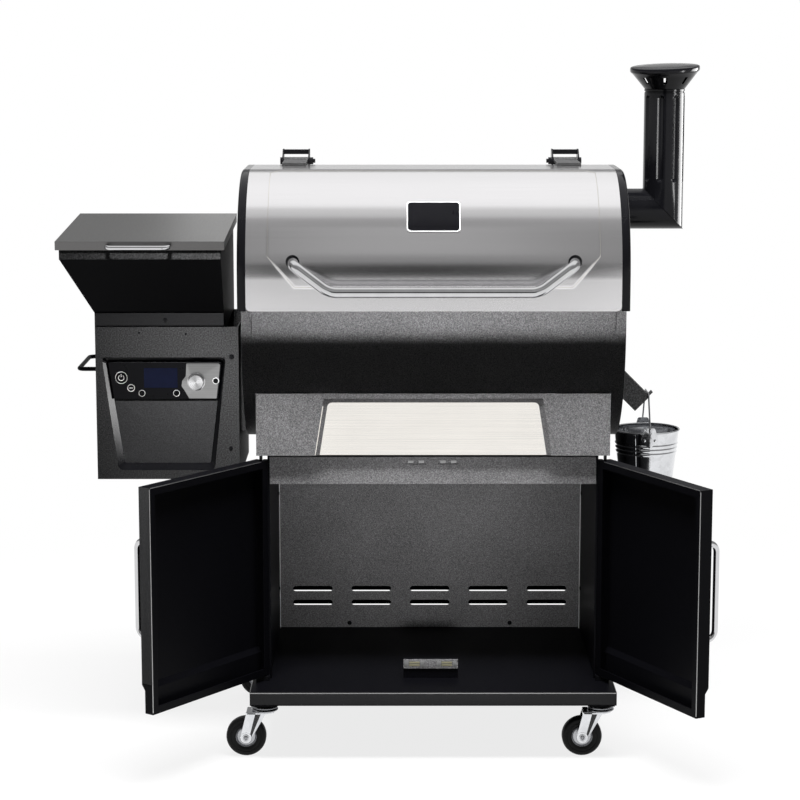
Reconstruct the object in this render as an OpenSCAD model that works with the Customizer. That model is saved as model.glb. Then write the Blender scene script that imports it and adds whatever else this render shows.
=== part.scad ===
// Pellet smoker grill on a four-wheel cabinet, in millimetres, +Z up.
// Measures below are taken from the barrel's middle (x), the cabinet's front plane (y) and the floor (z).
// The outer wrapper moves that point so that the origin is the middle of the bounding box on the floor.

/* [Barrel] */
// Length over the lid's end caps
barrel_len = 718; // [620:1:800]
// Front to back size of the barrel
barrel_d = 500; // [420:1:560]
// Underside of the barrel above the floor
barrel_z = 577; // [540:1:620]
// Height of the barrel
barrel_h = 506; // [440:1:560]
// How far the barrel stands out in front of the cabinet
barrel_front = 45; // [20:1:80]
// Radius of the upper corners of the section
barrel_top_r = 185; // [120:1:240]
// Radius of the lower corners of the section
barrel_low_r = 225; // [160:1:240]
// Sheet thickness used all over
sheet = 2; // [1.5:0.1:3]

/* [Lid] */
// Height of the lid's lower front edge
lid_edge_z = 840; // [800:1:880]
// Width of the black end caps seen from the front
cap_w = 16; // [10:1:24]
// Half width of the raised panel on the lid
emboss_half_w = 303; // [240:1:320]
// Height of the raised panel's lower edge
emboss_low_z = 884; // [860:1:920]
// Radius of the lid handle's tube
lid_handle_r = 10; // [7:0.5:14]
// Half length of the handle's straight part
lid_handle_half = 190; // [150:1:220]
// Distance of the two hinges from the middle
lid_hinge_x = 266; // [200:1:300]
// Opening rest angle of the hopper lid's slope
hopper_slope = 3.6; // [0:0.1:8]

/* [Cabinet] */
// Half width over the side walls
cab_half = 308.5; // [280:0.5:330]
// Depth to the back panel
cab_d = 377; // [320:1:420]
// Top of the side walls
wall_top = 567; // [520:1:600]
// Height of the fascia
fascia_h = 116; // [90:1:140]
// Half width of the fascia
fascia_half = 328; // [312:1:345]
// Fascia front in front of the cabinet plane
fascia_y = 20; // [12:1:30]
// Half width of the base shelf
shelf_half = 340; // [320:1:360]
// Top of the base shelf
shelf_z = 135; // [120:1:160]
// Height of the shelf's lip
shelf_lip = 25; // [15:1:35]
// Shelf front in front of the cabinet plane
shelf_front = 98; // [60:1:120]

/* [Doors] */
// Width from the hinge to the free edge
door_w = 317.5; // [290:0.5:318]
// Lower edge of the doors
door_z0 = 145; // [140:1:170]
// Upper edge of the doors
door_z1 = 556; // [520:1:560]
// Thickness of the doors
door_t = 26; // [18:1:30]
// Distance of the hinge pins from the middle
door_hinge_x = 320; // [314:0.5:326]
// Opening of the left door at rest
left_open = 126.2; // [0:0.1:140]
// Opening of the right door at rest
right_open = 118; // [0:0.1:140]

/* [Casters] */
// Wheel radius
wheel_r = 37.5; // [30:0.5:45]
// Wheel width
wheel_w = 24; // [18:1:30]
// Trail between the swivel and the axle
caster_trail = 35; // [20:1:40]
// Swivel distance from the middle
caster_x = 315; // [290:1:325]
// Front swivels, measured back from the cabinet plane
caster_front_y = -45; // [-60:1:0]
// Rear swivels, measured back from the cabinet plane
caster_rear_y = 350; // [320:1:370]

/* [Hopper] */
// Left face of the hopper body
hop_x0 = -625; // [-680:1:-560]
// Right face of the hopper body
hop_x1 = -360; // [-362:1:-360]
// Depth of the hopper body
hop_d = 272; // [240:1:320]
// Underside of the hopper body
hop_z0 = 519; // [500:1:560]
// Top of the front panel
hop_z1 = 805; // [780:1:830]
// Height where the bin starts to flare
hop_flare_z = 831.5; // [825:0.5:850]
// Front top edge of the hopper lid
hop_lid_z = 970; // [950:1:990]

/* [Chimney and pail] */
// Chimney axis to the right of the middle
chim_x = 457; // [440:1:480]
// Chimney axis behind the cabinet plane
chim_y = 330; // [328:1:345]
// Height of the chimney's level run
chim_z = 997; // [980:1:1000]
// Chimney pipe radius
chim_r = 39.5; // [30:0.5:42]
// Top of the chimney pipe
chim_top = 1232; // [1180:1:1260]
// Cap radius
chim_cap_r = 71; // [55:1:80]
// Pail axis to the right of the middle
pail_x = 419; // [419:1:440]
// Pail rim height
pail_z = 580; // [560:1:590]
// Pail rim radius
pail_r = 64; // [50:1:64]
// Pail height
pail_h = 118; // [90:1:140]

/* [Hidden] */
$fn = 96;
barrel_half = barrel_len / 2;
front_y = -barrel_front;
rear_y = front_y + barrel_d;
top_z = barrel_z + barrel_h;
barrel_mid_y = (front_y + rear_y) / 2;
plate_x = barrel_half - 7;
lid_skin_half = barrel_half - cap_w;
lid_gap = 2;
lid_out = 4;
emboss = 2.5;
hinge_y = 350;
hinge_z = 1090;
hinge_r = 4;
split_y = 345;
run_gap = 0.06;
door_hinge_y = -10;
door_out = door_t - 9;
door_back = 9;
door_pin_r = 3;
handle_r = 5.5;
chim_wall = 5;
fascia_z1 = wall_top + fascia_h;
auger_y = barrel_mid_y;
auger_z = 640;
auger_tube_r = 27;
auger_bore_r = 25;
recess_y = 8;
plate_y = 3;
knob_x = -439;
knob_z = 703;
power_x = -578;
power_z = 710;
set_x = -560;
set_z = 691;
jack_x = [-540, -476];
jack_z = 681;
hop_bin_x1 = -386;
hop_top_x0 = -679;
hop_top_y = -64;
hop_lid_x0 = -685;
hop_lid_x1 = -379;
hop_lid_y0 = -72;
hop_lid_y1 = 275;
hop_hinge_y = 279;
hop_hinge_drop = 7;
hop_hinge_z = hop_lid_z + (hop_hinge_y - hop_lid_y0) * tan(hopper_slope) - hop_hinge_drop;
duct_z = 687;
duct_half = 20;
duct_len = 80;
bail_z = duct_z - (pail_x - plate_x) + duct_half * sqrt(2) + 2.9;
bail_r = 1.6;
x_mid = (hop_lid_x0 + chim_x + chim_cap_r) / 2;
y_front = door_hinge_y - door_w * sin(right_open) + door_back * cos(right_open);
y_mid = (y_front + rear_y + 1.5) / 2;

module placed() {
    translate([-x_mid, -y_mid, 0]) children();
}

module block(x0, x1, y0, y1, z0, z1) {
    translate([x0, y0, z0]) cube([x1 - x0, y1 - y0, z1 - z0]);
}

// A flat shape in (y, z) carried from x0 to x1.
module along_x(x0, x1) {
    translate([x0, 0, 0]) rotate([90, 0, 90]) linear_extrude(x1 - x0) children();
}

// A flat shape in (x, z) carried from y0 to y1.
module along_y(y0, y1) {
    translate([0, y1, 0]) rotate([90, 0, 0]) linear_extrude(y1 - y0) children();
}

module xrod(x0, x1, y, z, r) {
    translate([x0, y, z]) rotate([0, 90, 0]) cylinder(h = x1 - x0, r = r);
}

module yrod(y0, y1, x, z, r) {
    translate([x, y1, z]) rotate([90, 0, 0]) cylinder(h = y1 - y0, r = r);
}

module zrod(z0, z1, x, y, r) {
    translate([x, y, z0]) cylinder(h = z1 - z0, r = r);
}

// A round bar between two points, with a ball at the second one.
module bar(p, q, r, ball = true) {
    v = q - p;
    translate(p) rotate([0, acos(v[2] / norm(v)), atan2(v[1], v[0])]) cylinder(h = norm(v), r = r);
    if (ball) translate(q) sphere(r = r + 0.05);
}

// The barrel's section, grown outwards by g.
module barrel_outline(g = 0) {
    rt = barrel_top_r + g;
    rl = barrel_low_r + g;
    y0 = front_y - g;
    y1 = rear_y + g;
    z0 = barrel_z - g;
    z1 = top_z + g;
    translate([y0 + rt, z1 - rt]) circle(r = rt);
    translate([y1 - rt, z1 - rt]) circle(r = rt);
    translate([y0 + rl, z0 + rl]) circle(r = rl);
    translate([y1 - rl, z0 + rl]) circle(r = rl);
    translate([y0, z0 + rl]) square([y1 - y0, z1 - rt - z0 - rl]);
    translate([y0 + rt, z1 - 2 * rt]) square([y1 - y0 - 2 * rt, 2 * rt]);
    translate([y0 + rl, z0]) square([y1 - y0 - 2 * rl, 2 * rl]);
}

module body_region() {
    polygon([[-200, 400], [700, 400], [700, 1300], [split_y, 1300], [split_y, 1062], [front_y, lid_edge_z + 20],
        [-200, lid_edge_z + 20]]);
}

module lid_region() {
    polygon([[-200, lid_edge_z], [front_y - lid_out, lid_edge_z], [338, 1060], [338, 1300], [-200, 1300]]);
}

// Base shelf with four blocks for the casters.
module base_shelf() {
    color("#26272a") {
        difference() {
            block(-shelf_half, shelf_half, -shelf_front, 400, shelf_z - shelf_lip, shelf_z);
            block(-shelf_half + sheet, shelf_half - sheet, -shelf_front + sheet, 400 - sheet, 0, shelf_z - sheet);
        }
        for (sx = [-1, 1], y = [caster_front_y, caster_rear_y])
            block(sx * caster_x - 22, sx * caster_x + 22, y - 28, y + 28, 104, shelf_z - sheet);
    }
}

module caster_plate(x, y) {
    block(x - 24, x + 24, y - 28, y + 28, 101, 104);
    zrod(95, 101, x, y, 22);
    zrod(80, 95, x, y, 5);
}

module caster_plates() {
    color("#b9bbbd") for (sx = [-1, 1], y = [caster_front_y, caster_rear_y]) caster_plate(sx * caster_x, y);
}

module caster_fork(x, y) {
    ax = x - caster_trail;
    color("#c4c6c8") {
        difference() {
            union() {
                zrod(86, 94.6, x, y, 20);
                block(x - 30, x + 20, y - 17, y + 17, 83, 87);
                for (s = [-1, 1]) along_y(y + s * 15.5 - 1.5, y + s * 15.5 + 1.5) union() {
                    polygon([[x - 30, 87], [x + 20, 87], [x + 20, 78], [ax + 9.5, wheel_r - 5.5], [ax - 9.5, wheel_r - 5.5],
                        [ax - 11, wheel_r]]);
                    translate([ax, wheel_r]) circle(r = 11);
                }
            }
            zrod(70, 96, x, y, 5 + run_gap);
            yrod(y - 30, y + 30, ax, wheel_r, 4);
        }
        yrod(y - 17, y + 17, ax, wheel_r, 4);
        yrod(y - 20, y - 17, ax, wheel_r, 7);
        yrod(y + 17, y + 20, ax, wheel_r, 7);
    }
}

module caster_wheel(x, y) {
    w = wheel_w / 2;
    translate([x - caster_trail, y, wheel_r]) rotate([90, 0, 0]) {
        color("#1b1b1c") rotate_extrude()
            polygon([[20, -w + 2], [wheel_r - 4, -w], [wheel_r, -w + 5], [wheel_r, w - 5], [wheel_r - 4, w], [20, w - 2]]);
        color("#b4b6b8") rotate_extrude()
            polygon([[4 + run_gap, -13], [9, -13], [9, -w + 4], [20, -w + 4], [20, w - 4], [9, w - 4], [9, 13],
                [4 + run_gap, 13]]);
    }
}

module side_wall(s) {
    color("#232427") {
        block(s > 0 ? cab_half - sheet : -cab_half, s > 0 ? cab_half : -cab_half + sheet, 0, cab_d, shelf_z, wall_top);
        block(s > 0 ? cab_half - 4 : -cab_half, s > 0 ? cab_half : -cab_half + 4, 0, 14, shelf_z, wall_top);
    }
}

module louvre(x, z) {
    translate([x, z]) square([70, 11], center = true);
    translate([x - 35, z]) circle(r = 5.5);
    translate([x + 35, z]) circle(r = 5.5);
}

module back_panel() {
    color("#232427") {
        difference() {
            block(-cab_half, cab_half, cab_d, cab_d + sheet, shelf_z, wall_top);
            for (x = [-239, -119.5, 0, 119.5, 239], z = [216, 187])
                along_y(cab_d - 1, cab_d + sheet + 1) louvre(x, z);
        }
        for (x = [-239, -119.5, 0, 119.5, 239], z = [216, 187])
            along_x(x - 38, x + 38)
                polygon([[cab_d + sheet, z + 5.5], [cab_d + sheet, z + 7.5], [cab_d + sheet + 9, z - 3],
                    [cab_d + sheet + 7.5, z - 4]]);
    }
}

module header_rail() {
    color("#2a2b2e") difference() {
        block(-cab_half + 4, cab_half - 4, 0, 22, 509, 561);
        block(-cab_half, cab_half, sheet, 30, 509 + sheet, 561 - sheet);
    }
}

module magnet_catches() {
    color("#9a9b98") {
        block(-55, 48, 2, 12, shelf_z, 152);
        block(-55, 48, 0, 12, 152, 172);
        block(-50, -11, -0.6, 0, 157, 169);
        block(4, 43, -0.6, 0, 157, 169);
        block(-51, -12, -0.6, 0, 547, 557);
        block(9, 48, -0.6, 0, 547, 557);
    }
}

module fascia_trapezoid(bottom, top, z0, z1) {
    polygon([[-bottom, z0], [bottom, z0], [top, z1], [-top, z1]]);
}

module fascia() {
    color("#2a2b2e") difference() {
        union() {
            block(-fascia_half, fascia_half, -fascia_y, -fascia_y + sheet, wall_top, fascia_z1);
            for (s = [-1, 1])
                along_x(s > 0 ? fascia_half - sheet : -fascia_half, s > 0 ? fascia_half : -fascia_half + sheet) difference() {
                    translate([-fascia_y, wall_top]) square([fascia_y, fascia_z1 - wall_top]);
                    barrel_outline(0.5);
                }
            block(-fascia_half, fascia_half, -fascia_y, 40, wall_top, wall_top + sheet);
            block(-228, 228, -fascia_y, -fascia_y + 7, wall_top, fascia_z1);
        }
        hull() {
            along_y(-fascia_y - 1, -fascia_y) fascia_trapezoid(220, 203, wall_top - 4, 674);
            along_y(-fascia_y + 7, -fascia_y + 8) fascia_trapezoid(212, 196, wall_top - 4, 666.5);
        }
        block(-222, 222, -fascia_y + 7, -fascia_y + 9, wall_top - 1, wall_top + sheet + 1);
        for (s = [-1, 1]) zrod(wall_top - 1, wall_top + 3, s * door_hinge_x, door_hinge_y, door_pin_r);
    }
}

module fascia_plate() {
    color("#b9b8b4") along_y(-fascia_y + 7, -fascia_y + 9) fascia_trapezoid(216, 200, wall_top, 671);
}

// Two shaped plates on the side walls and one at the back, which carry the barrel.
module barrel_cradle() {
    color("#1f2022") {
        for (s = [-1, 1])
            along_x(s > 0 ? cab_half - sheet : -cab_half, s > 0 ? cab_half : -cab_half + sheet) difference() {
                translate([40, wall_top]) square([cab_d - 40, 78]);
                barrel_outline();
            }
        along_x(-cab_half + sheet, cab_half - sheet) difference() {
            translate([cab_d - sheet, wall_top]) square([sheet, 78]);
            barrel_outline();
        }
    }
}

module door_pivots() {
    color("#8d8f91") for (s = [-1, 1]) {
        difference() {
            block(s * door_hinge_x - 13, s * door_hinge_x + 13, door_hinge_y - 8, door_hinge_y + 10, shelf_z, door_z0 - 1);
            zrod(shelf_z + 2, door_z0, s * door_hinge_x, door_hinge_y, door_pin_r);
        }
        zrod(shelf_z + 2, door_z0 + 8, s * door_hinge_x, door_hinge_y, door_pin_r);
        zrod(door_z1 - 8, wall_top + sheet, s * door_hinge_x, door_hinge_y, door_pin_r);
    }
}

// A closed left door, with its hinge pin on the z axis.
module door_pan() {
    step = 7;
    difference() {
        along_x(-8, door_w)
            polygon([[door_back, door_z0], [-door_out + step, door_z0], [-door_out + step, door_z0 + 42],
                [-door_out, door_z0 + 52], [-door_out, door_z1], [door_back, door_z1]]);
        along_x(-8 + sheet, door_w - sheet)
            polygon([[door_back - sheet, door_z0 + sheet], [-door_out + step + sheet, door_z0 + sheet],
                [-door_out + step + sheet, door_z0 + 42], [-door_out + sheet, door_z0 + 52],
                [-door_out + sheet, door_z1 - sheet], [door_back - sheet, door_z1 - sheet]]);
        block(6, door_w - 14, door_back - 3, door_back + 1, door_z0 + 14, door_z1 - 14);
        zrod(door_z0 - 1, door_z1 + 1, 0, 0, door_pin_r + run_gap);
    }
}

// A bowed pull: feet on y = 0 at z = 0 and z = len, standing out to -y.
module bow_handle(len, out, r) {
    bend = 3 * r;
    for (z = [0, len]) yrod(-out + bend, 0, 0, z, r);
    translate([0, -out + bend, bend]) rotate([90, 0, 90]) rotate([0, 0, 180]) rotate_extrude(angle = 90)
        translate([bend, 0]) circle(r = r);
    translate([0, -out + bend, len - bend]) rotate([90, 0, 90]) rotate([0, 0, 90]) rotate_extrude(angle = 90)
        translate([bend, 0]) circle(r = r);
    zrod(bend, len - bend, 0, -out, r);
}

module left_hung() {
    translate([-door_hinge_x, door_hinge_y, 0]) rotate([0, 0, -left_open]) children();
}

module right_hung() {
    translate([door_hinge_x, door_hinge_y, 0]) rotate([0, 0, right_open]) mirror([1, 0, 0]) children();
}

module left_door() {
    color("#1d1e20") left_hung() door_pan();
}

module right_door() {
    color("#1d1e20") right_hung() door_pan();
}

module left_door_handle() {
    color("#d5d6d7") left_hung() translate([door_w - 27, -door_out, 277.5]) bow_handle(175, 30, handle_r);
}

module right_door_handle() {
    color("#d5d6d7") right_hung() translate([door_w - 27, -door_out, 277.5]) bow_handle(175, 30, handle_r);
}

// The lower barrel, with two ledges for the cooking grate.
module barrel_shell() {
    color("#202124") {
        along_x(-plate_x + sheet, plate_x - sheet) intersection() {
            difference() {
                barrel_outline();
                barrel_outline(-sheet);
            }
            body_region();
        }
        block(-plate_x + sheet, plate_x - sheet, front_y + sheet - 0.5, front_y + 16, 814, 818);
        block(-plate_x + sheet, plate_x - sheet, rear_y - 16, rear_y - sheet + 0.5, 814, 818);
    }
}

module barrel_end(s) {
    along_x(s > 0 ? plate_x - sheet : -plate_x, s > 0 ? plate_x : -plate_x + sheet) intersection() {
        barrel_outline(1.5);
        body_region();
    }
    along_x(s > 0 ? plate_x - 19 : -plate_x + sheet, s > 0 ? plate_x - sheet : -plate_x + 19) intersection() {
        difference() {
            barrel_outline(1.5);
            barrel_outline();
        }
        body_region();
    }
}

module barrel_left_end() {
    color("#202124") difference() {
        barrel_end(-1);
        xrod(-plate_x - 1, -plate_x + sheet + 1, auger_y, auger_z, auger_tube_r);
    }
}

module barrel_right_end() {
    color("#202124") difference() {
        barrel_end(1);
        xrod(plate_x - sheet - 1, plate_x + 1, chim_y, chim_z, chim_r - chim_wall);
        block(plate_x - sheet - 1, plate_x + 1, barrel_mid_y - 17, barrel_mid_y + 17, duct_z - 20, duct_z + 20);
    }
}

module lid_hinge_brackets() {
    color("#18191a") for (s = [-1, 1]) {
        for (e = [-1, 1]) difference() {
            along_x(s * lid_hinge_x + e * 25.5 - 1.5, s * lid_hinge_x + e * 25.5 + 1.5) difference() {
                polygon([[342, 1090], [346, 1098], [356, 1104], [366, 1112], [382, 1112], [392, 1020], [352, 1050]]);
                barrel_outline();
            }
            xrod(s * lid_hinge_x - 40, s * lid_hinge_x + 40, hinge_y, hinge_z, hinge_r);
        }
        block(s * lid_hinge_x - 24, s * lid_hinge_x + 24, 367, 381, 1102, 1111);
        xrod(s * lid_hinge_x - 27, s * lid_hinge_x + 27, hinge_y, hinge_z, hinge_r);
        xrod(s * lid_hinge_x + s * 29 - 2, s * lid_hinge_x + s * 29 + 2, hinge_y, hinge_z, 7);
        xrod(s * lid_hinge_x - s * 30.5 - 3.5, s * lid_hinge_x - s * 30.5 + 3.5, hinge_y, hinge_z, 7);
        xrod(s * lid_hinge_x - s * 36 - 2, s * lid_hinge_x - s * 36 + 2, hinge_y, hinge_z, 4);
    }
}

module lid_ring(g0, g1) {
    intersection() {
        difference() {
            barrel_outline(g1);
            barrel_outline(g0);
        }
        lid_region();
    }
}

module lid_shell() {
    color("#a9a8a5") {
        along_x(-lid_skin_half, lid_skin_half) lid_ring(lid_gap, lid_out);
        intersection() {
            along_x(-emboss_half_w, emboss_half_w) lid_ring(lid_out - 0.5, lid_out + emboss);
            along_y(-120, 110) polygon([[-254, emboss_low_z], [254, emboss_low_z], [emboss_half_w, 940],
                [emboss_half_w, 1200], [-emboss_half_w, 1200], [-emboss_half_w, 940]]);
        }
    }
}

module lid_end_caps() {
    color("#141415") for (s = [-1, 1]) {
        along_x(s > 0 ? barrel_half - 2.5 : -barrel_half, s > 0 ? barrel_half : -barrel_half + 2.5) intersection() {
            barrel_outline(lid_out);
            lid_region();
        }
        along_x(s > 0 ? lid_skin_half : -barrel_half + 2.5, s > 0 ? barrel_half - 2.5 : -lid_skin_half)
            lid_ring(lid_gap, lid_out);
    }
}

module lid_handle() {
    y0 = front_y - lid_out - 56;
    color("#d0d1d2") for (s = [-1, 1]) {
        bar([0, y0, 881], [s * lid_handle_half, y0, 881], lid_handle_r);
        bar([s * lid_handle_half, y0, 881], [s * 252, y0 + 12, 926], lid_handle_r);
        bar([s * 252, y0 + 12, 926], [s * 257, -42, 931], lid_handle_r, false);
    }
}

module lid_handle_feet() {
    difference() {
        lid_handle();
        along_x(-400, 400) barrel_outline(lid_out + emboss);
    }
}

module lid_hinge_knuckles() {
    color("#a3a5a6") for (s = [-1, 1]) difference() {
        union() {
            block(s * lid_hinge_x - 23, s * lid_hinge_x + 23, 250, hinge_y, top_z + lid_out, top_z + lid_out + 5);
            xrod(s * lid_hinge_x - 23.5, s * lid_hinge_x + 23.5, hinge_y, hinge_z, 7.5);
        }
        xrod(s * lid_hinge_x - 40, s * lid_hinge_x + 40, hinge_y, hinge_z, hinge_r + run_gap);
    }
}

module grille(x0, x1, y0, y1, gap, wire, cross) {
    n = floor((x1 - x0 - 2 * wire) / (gap + wire));
    pitch = (x1 - x0 - wire) / n;
    m = cross + 1;
    span = (y1 - y0 - wire) / m;
    difference() {
        translate([x0, y0]) square([x1 - x0, y1 - y0]);
        for (i = [0 : n - 1], j = [0 : m - 1])
            translate([x0 + wire + i * pitch, y0 + wire + j * span]) square([pitch - wire, span - wire]);
    }
}

module cooking_grate() {
    color("#2b2b2c") translate([0, 0, 818]) linear_extrude(5) {
        grille(-345, -1, front_y + 6, rear_y - 6, 15, 5, 2);
        grille(1, 345, front_y + 6, rear_y - 6, 15, 5, 2);
    }
}

module warming_rack() {
    color("#8f9092") {
        translate([0, 0, 955]) linear_extrude(5) grille(-300, 300, 235, 415, 16, 5, 1);
        for (x = [-300, 295], y = [235, 410]) block(x, x + 5, y, y + 5, 823, 956);
    }
}

module drip_tray() {
    color("#3a3a3a") difference() {
        block(-338, 344, 20, 390, 742, 756);
        block(-336, 350, 22, 388, 744, 760);
    }
}

module heat_baffle() {
    color("#454443") difference() {
        intersection() {
            block(-150, 150, 90, 320, 570, 742);
            along_x(-160, 160) barrel_outline(-sheet);
        }
        block(-148, 148, 80, 330, 560, 740);
        xrod(-160, -140, auger_y, auger_z, auger_tube_r + 3);
        block(-160, -140, auger_y - 12, auger_y + 12, 560, 640);
    }
}

// The fire pot with the igniter rod that reaches it from the left end.
module fire_pot() {
    color("#55524e") {
        difference() {
            zrod(583, 665, 0, auger_y, 50);
            zrod(586, 666, 0, auger_y, 46.5);
            xrod(-60, -20, auger_y, auger_z, auger_tube_r);
        }
        xrod(-plate_x + sheet, -46, auger_y, 600, 5);
    }
}

module half_space(sign) {
    translate([chim_x, chim_y, chim_z]) rotate([0, 45, 0])
        translate([-400, -200, sign > 0 ? 0 : -800]) cube([800, 400, 800]);
}

module chimney_run(r, x0, z1) {
    intersection() {
        xrod(x0, chim_x + 80, chim_y, chim_z, r);
        half_space(-1);
    }
    intersection() {
        zrod(chim_z - 80, z1, chim_x, chim_y, r);
        half_space(1);
    }
}

module chimney_pipe() {
    color("#17181a") difference() {
        union() {
            chimney_run(chim_r, plate_x, chim_top);
            xrod(plate_x, plate_x + 3, chim_y, chim_z, 48);
        }
        chimney_run(chim_r - chim_wall, plate_x - 10, chim_top + 10);
        for (i = [0 : 7]) translate([chim_x, chim_y, 0]) rotate([0, 0, -106 + 45 * i]) {
            zrod(1056, 1215, chim_r + 2.5, 0, 5.5);
            translate([chim_r + 2.5, 0, 1056]) sphere(r = 5.5);
            translate([chim_r + 2.5, 0, 1215]) sphere(r = 5.5);
        }
    }
}

module chimney_cap() {
    r = chim_r;
    color("#17181a") translate([chim_x, chim_y, chim_top]) difference() {
        rotate_extrude() polygon([[r - 3, 0], [r, 0], [chim_cap_r, 34], [chim_cap_r, 40], [chim_cap_r - 22, 45], [0, 47],
            [0, 44], [chim_cap_r - 23, 42], [chim_cap_r - 4, 36]]);
        for (i = [0 : 7]) rotate([0, 0, 45 * i - 95]) block(r + 2, chim_cap_r + 5, -3.5, 3.5, 10, 24);
    }
}

module duct_frame() {
    translate([plate_x, barrel_mid_y, duct_z]) rotate([0, 45, 0]) children();
}

module grease_spout() {
    color("#1d1e20") {
        difference() {
            duct_frame() difference() {
                block(-60, duct_len, -duct_half, duct_half, -duct_half, duct_half);
                block(-70, duct_len + 1, -duct_half + sheet, duct_half - sheet, -duct_half + sheet, duct_half - sheet);
            }
            block(plate_x - 200, plate_x, 0, 400, 500, 900);
        }
        duct_frame() block(duct_len - 3, duct_len, -10, 10, duct_half, duct_half + 10);
    }
}

module pail() {
    taper = 13;
    z0 = pail_z - pail_h;
    r0 = pail_r - taper;
    t = 1.5;
    color("#b8bbbd") translate([pail_x, barrel_mid_y, 0]) difference() {
        union() {
            rotate_extrude() polygon([[0, z0], [r0, z0], [r0 + 8.2, z0 + 74], [r0 + 10, z0 + 77], [r0 + 8.8, z0 + 80],
                [r0 + 10.6, z0 + 83], [r0 + 9.4, z0 + 86], [r0 + 11.2, z0 + 89], [r0 + 10, z0 + 92], [pail_r - 1, pail_z - 4],
                [pail_r + 1, pail_z - 4], [pail_r + 1, pail_z], [pail_r - 2, pail_z], [pail_r - 2.5, pail_z - 5], [r0 - t, z0 + 2],
                [0, z0 + 2]]);
            for (s = [-1, 1]) {
                block(-11, 11, s * (pail_r + 1.5) - 1.5, s * (pail_r + 1.5) + 1.5, pail_z - 18, pail_z + 6);
                block(-9, 9, s * (pail_r - 2) - 2.5, s * (pail_r - 2) + 2.5, pail_z - 17, pail_z - 13);
            }
        }
        yrod(-90, -pail_r + 0.5, 0, pail_z + 1.5, bail_r + run_gap);
        yrod(pail_r - 0.5, 90, 0, pail_z + 1.5, bail_r + run_gap);
    }
}

module pail_bail() {
    r = bail_r;
    w = 30;
    e = pail_r + 9;
    za = pail_z + 1.5;
    color("#c3c5c7") translate([pail_x, barrel_mid_y, 0]) {
        yrod(-w, w, 0, bail_z, r);
        for (s = [-1, 1]) {
            bar([0, s * e, za], [0, s * w, bail_z], r);
            translate([0, s * e, za]) sphere(r = r + 0.05);
            yrod(s > 0 ? pail_r - 0.5 : -e, s > 0 ? e : -pail_r + 0.5, 0, za, r);
        }
    }
}

module hopper_housing() {
    color("#232427") difference() {
        union() {
            difference() {
                block(hop_x0, hop_x1, sheet, hop_d, hop_z0, hop_z1);
                block(hop_x0 + sheet, hop_x1 - sheet, -10, hop_d - sheet, hop_z0 + sheet, hop_z1 + 10);
            }
            difference() {
                block(hop_x1, -plate_x, 60, 262, 600, 790);
                block(hop_x1 - 1, -plate_x + 1, 62, 260, 602, 788);
            }
        }
        xrod(hop_x1 - 10, hop_x1 + 4, auger_y, auger_z, auger_tube_r);
    }
}

module recess_shape(x0, x1, x2, x3, z0, z1) {
    polygon([[x0, z1], [x1, z1], [x3, z0], [x2, z0]]);
}

module hopper_front() {
    color("#2a2b2e") difference() {
        union() {
            block(hop_x0, hop_x1, 0, sheet, hop_z0, hop_z1);
            block(-618, -378, sheet - 1, recess_y + sheet, 530, 754);
        }
        hull() {
            along_y(-1, 0) recess_shape(-613, -384, -585, -407, 537, 748);
            along_y(recess_y - 0.01, recess_y) recess_shape(-603, -391.5, -575, -414, 548, 739);
        }
        for (x = jack_x) yrod(0, 20, x, jack_z, 6);
    }
}

module hopper_bin() {
    s = sheet;
    color("#1f2022") {
        difference() {
            union() {
                block(hop_x0, hop_bin_x1, 0, hop_d, hop_z1, hop_flare_z);
                hull() {
                    block(hop_x0, hop_bin_x1, 0, hop_d, hop_flare_z - 0.1, hop_flare_z);
                    block(hop_top_x0, hop_bin_x1, hop_top_y, hop_d, 936.9, 937);
                }
                along_x(hop_top_x0, hop_bin_x1) polygon([[hop_top_y, 937], [hop_d, 937], [hop_d, 986], [hop_top_y, 965]]);
            }
            hull() {
                block(hop_x0 + s, hop_bin_x1 - s, s, hop_d - s, hop_flare_z - 0.1, hop_flare_z);
                block(hop_top_x0 + s, hop_bin_x1 - s, hop_top_y + s, hop_d - s, 937, 937.1);
            }
            block(hop_top_x0 + s, hop_bin_x1 - s, hop_top_y + s, hop_d - s, 937, 1100);
            block(hop_x0 + s, hop_bin_x1 - s, s, hop_d - s, hop_z1 - 10, hop_flare_z);
        }
        difference() {
            hull() {
                block(hop_x0 + s, hop_bin_x1 - s, s, hop_d - s, hop_z1, hop_z1 + s);
                block(-522, -438, 174, 236, 655, 656);
            }
            hull() {
                block(hop_x0 + 2 * s, hop_bin_x1 - 2 * s, 2 * s, hop_d - 2 * s, hop_z1 + s, hop_z1 + s + 0.1);
                block(-520, -440, 176, 234, 654, 654.1);
            }
            xrod(-600, -400, auger_y, auger_z, auger_tube_r);
        }
    }
}

module hopper_hinge() {
    color("#1a1b1c") {
        xrod(-650, -414, hop_hinge_y, hop_hinge_z, 3);
        for (x = [-584, -496]) block(x, x + 16, hop_d, hop_hinge_y + 3, hop_hinge_z - 24, hop_hinge_z);
    }
}

module hopper_lid_frame() {
    translate([0, hop_hinge_y, hop_hinge_z]) rotate([hopper_slope, 0, 0]) children();
}

module hopper_lid() {
    y0 = (hop_lid_y0 - hop_hinge_y) / cos(hopper_slope);
    y1 = hop_lid_y1 - hop_hinge_y - 4;
    top = hop_hinge_drop;
    skirt = hop_hinge_drop - 16;
    color("#4b4a48") hopper_lid_frame() difference() {
        union() {
            block(hop_lid_x0, hop_lid_x1, y0, 0, top - sheet, top);
            block(hop_lid_x0, hop_lid_x1, y0, y0 + sheet, skirt, top - sheet);
            block(hop_lid_x0, hop_lid_x0 + sheet, y0, y1, skirt, top - sheet);
            block(hop_lid_x1 - sheet, hop_lid_x1, y0, y1, skirt, top - sheet);
            for (x = [-640, -464]) xrod(x, x + 40, 0, 0, 6);
        }
        xrod(-700, -350, 0, 0, 3 + run_gap);
    }
}

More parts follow.
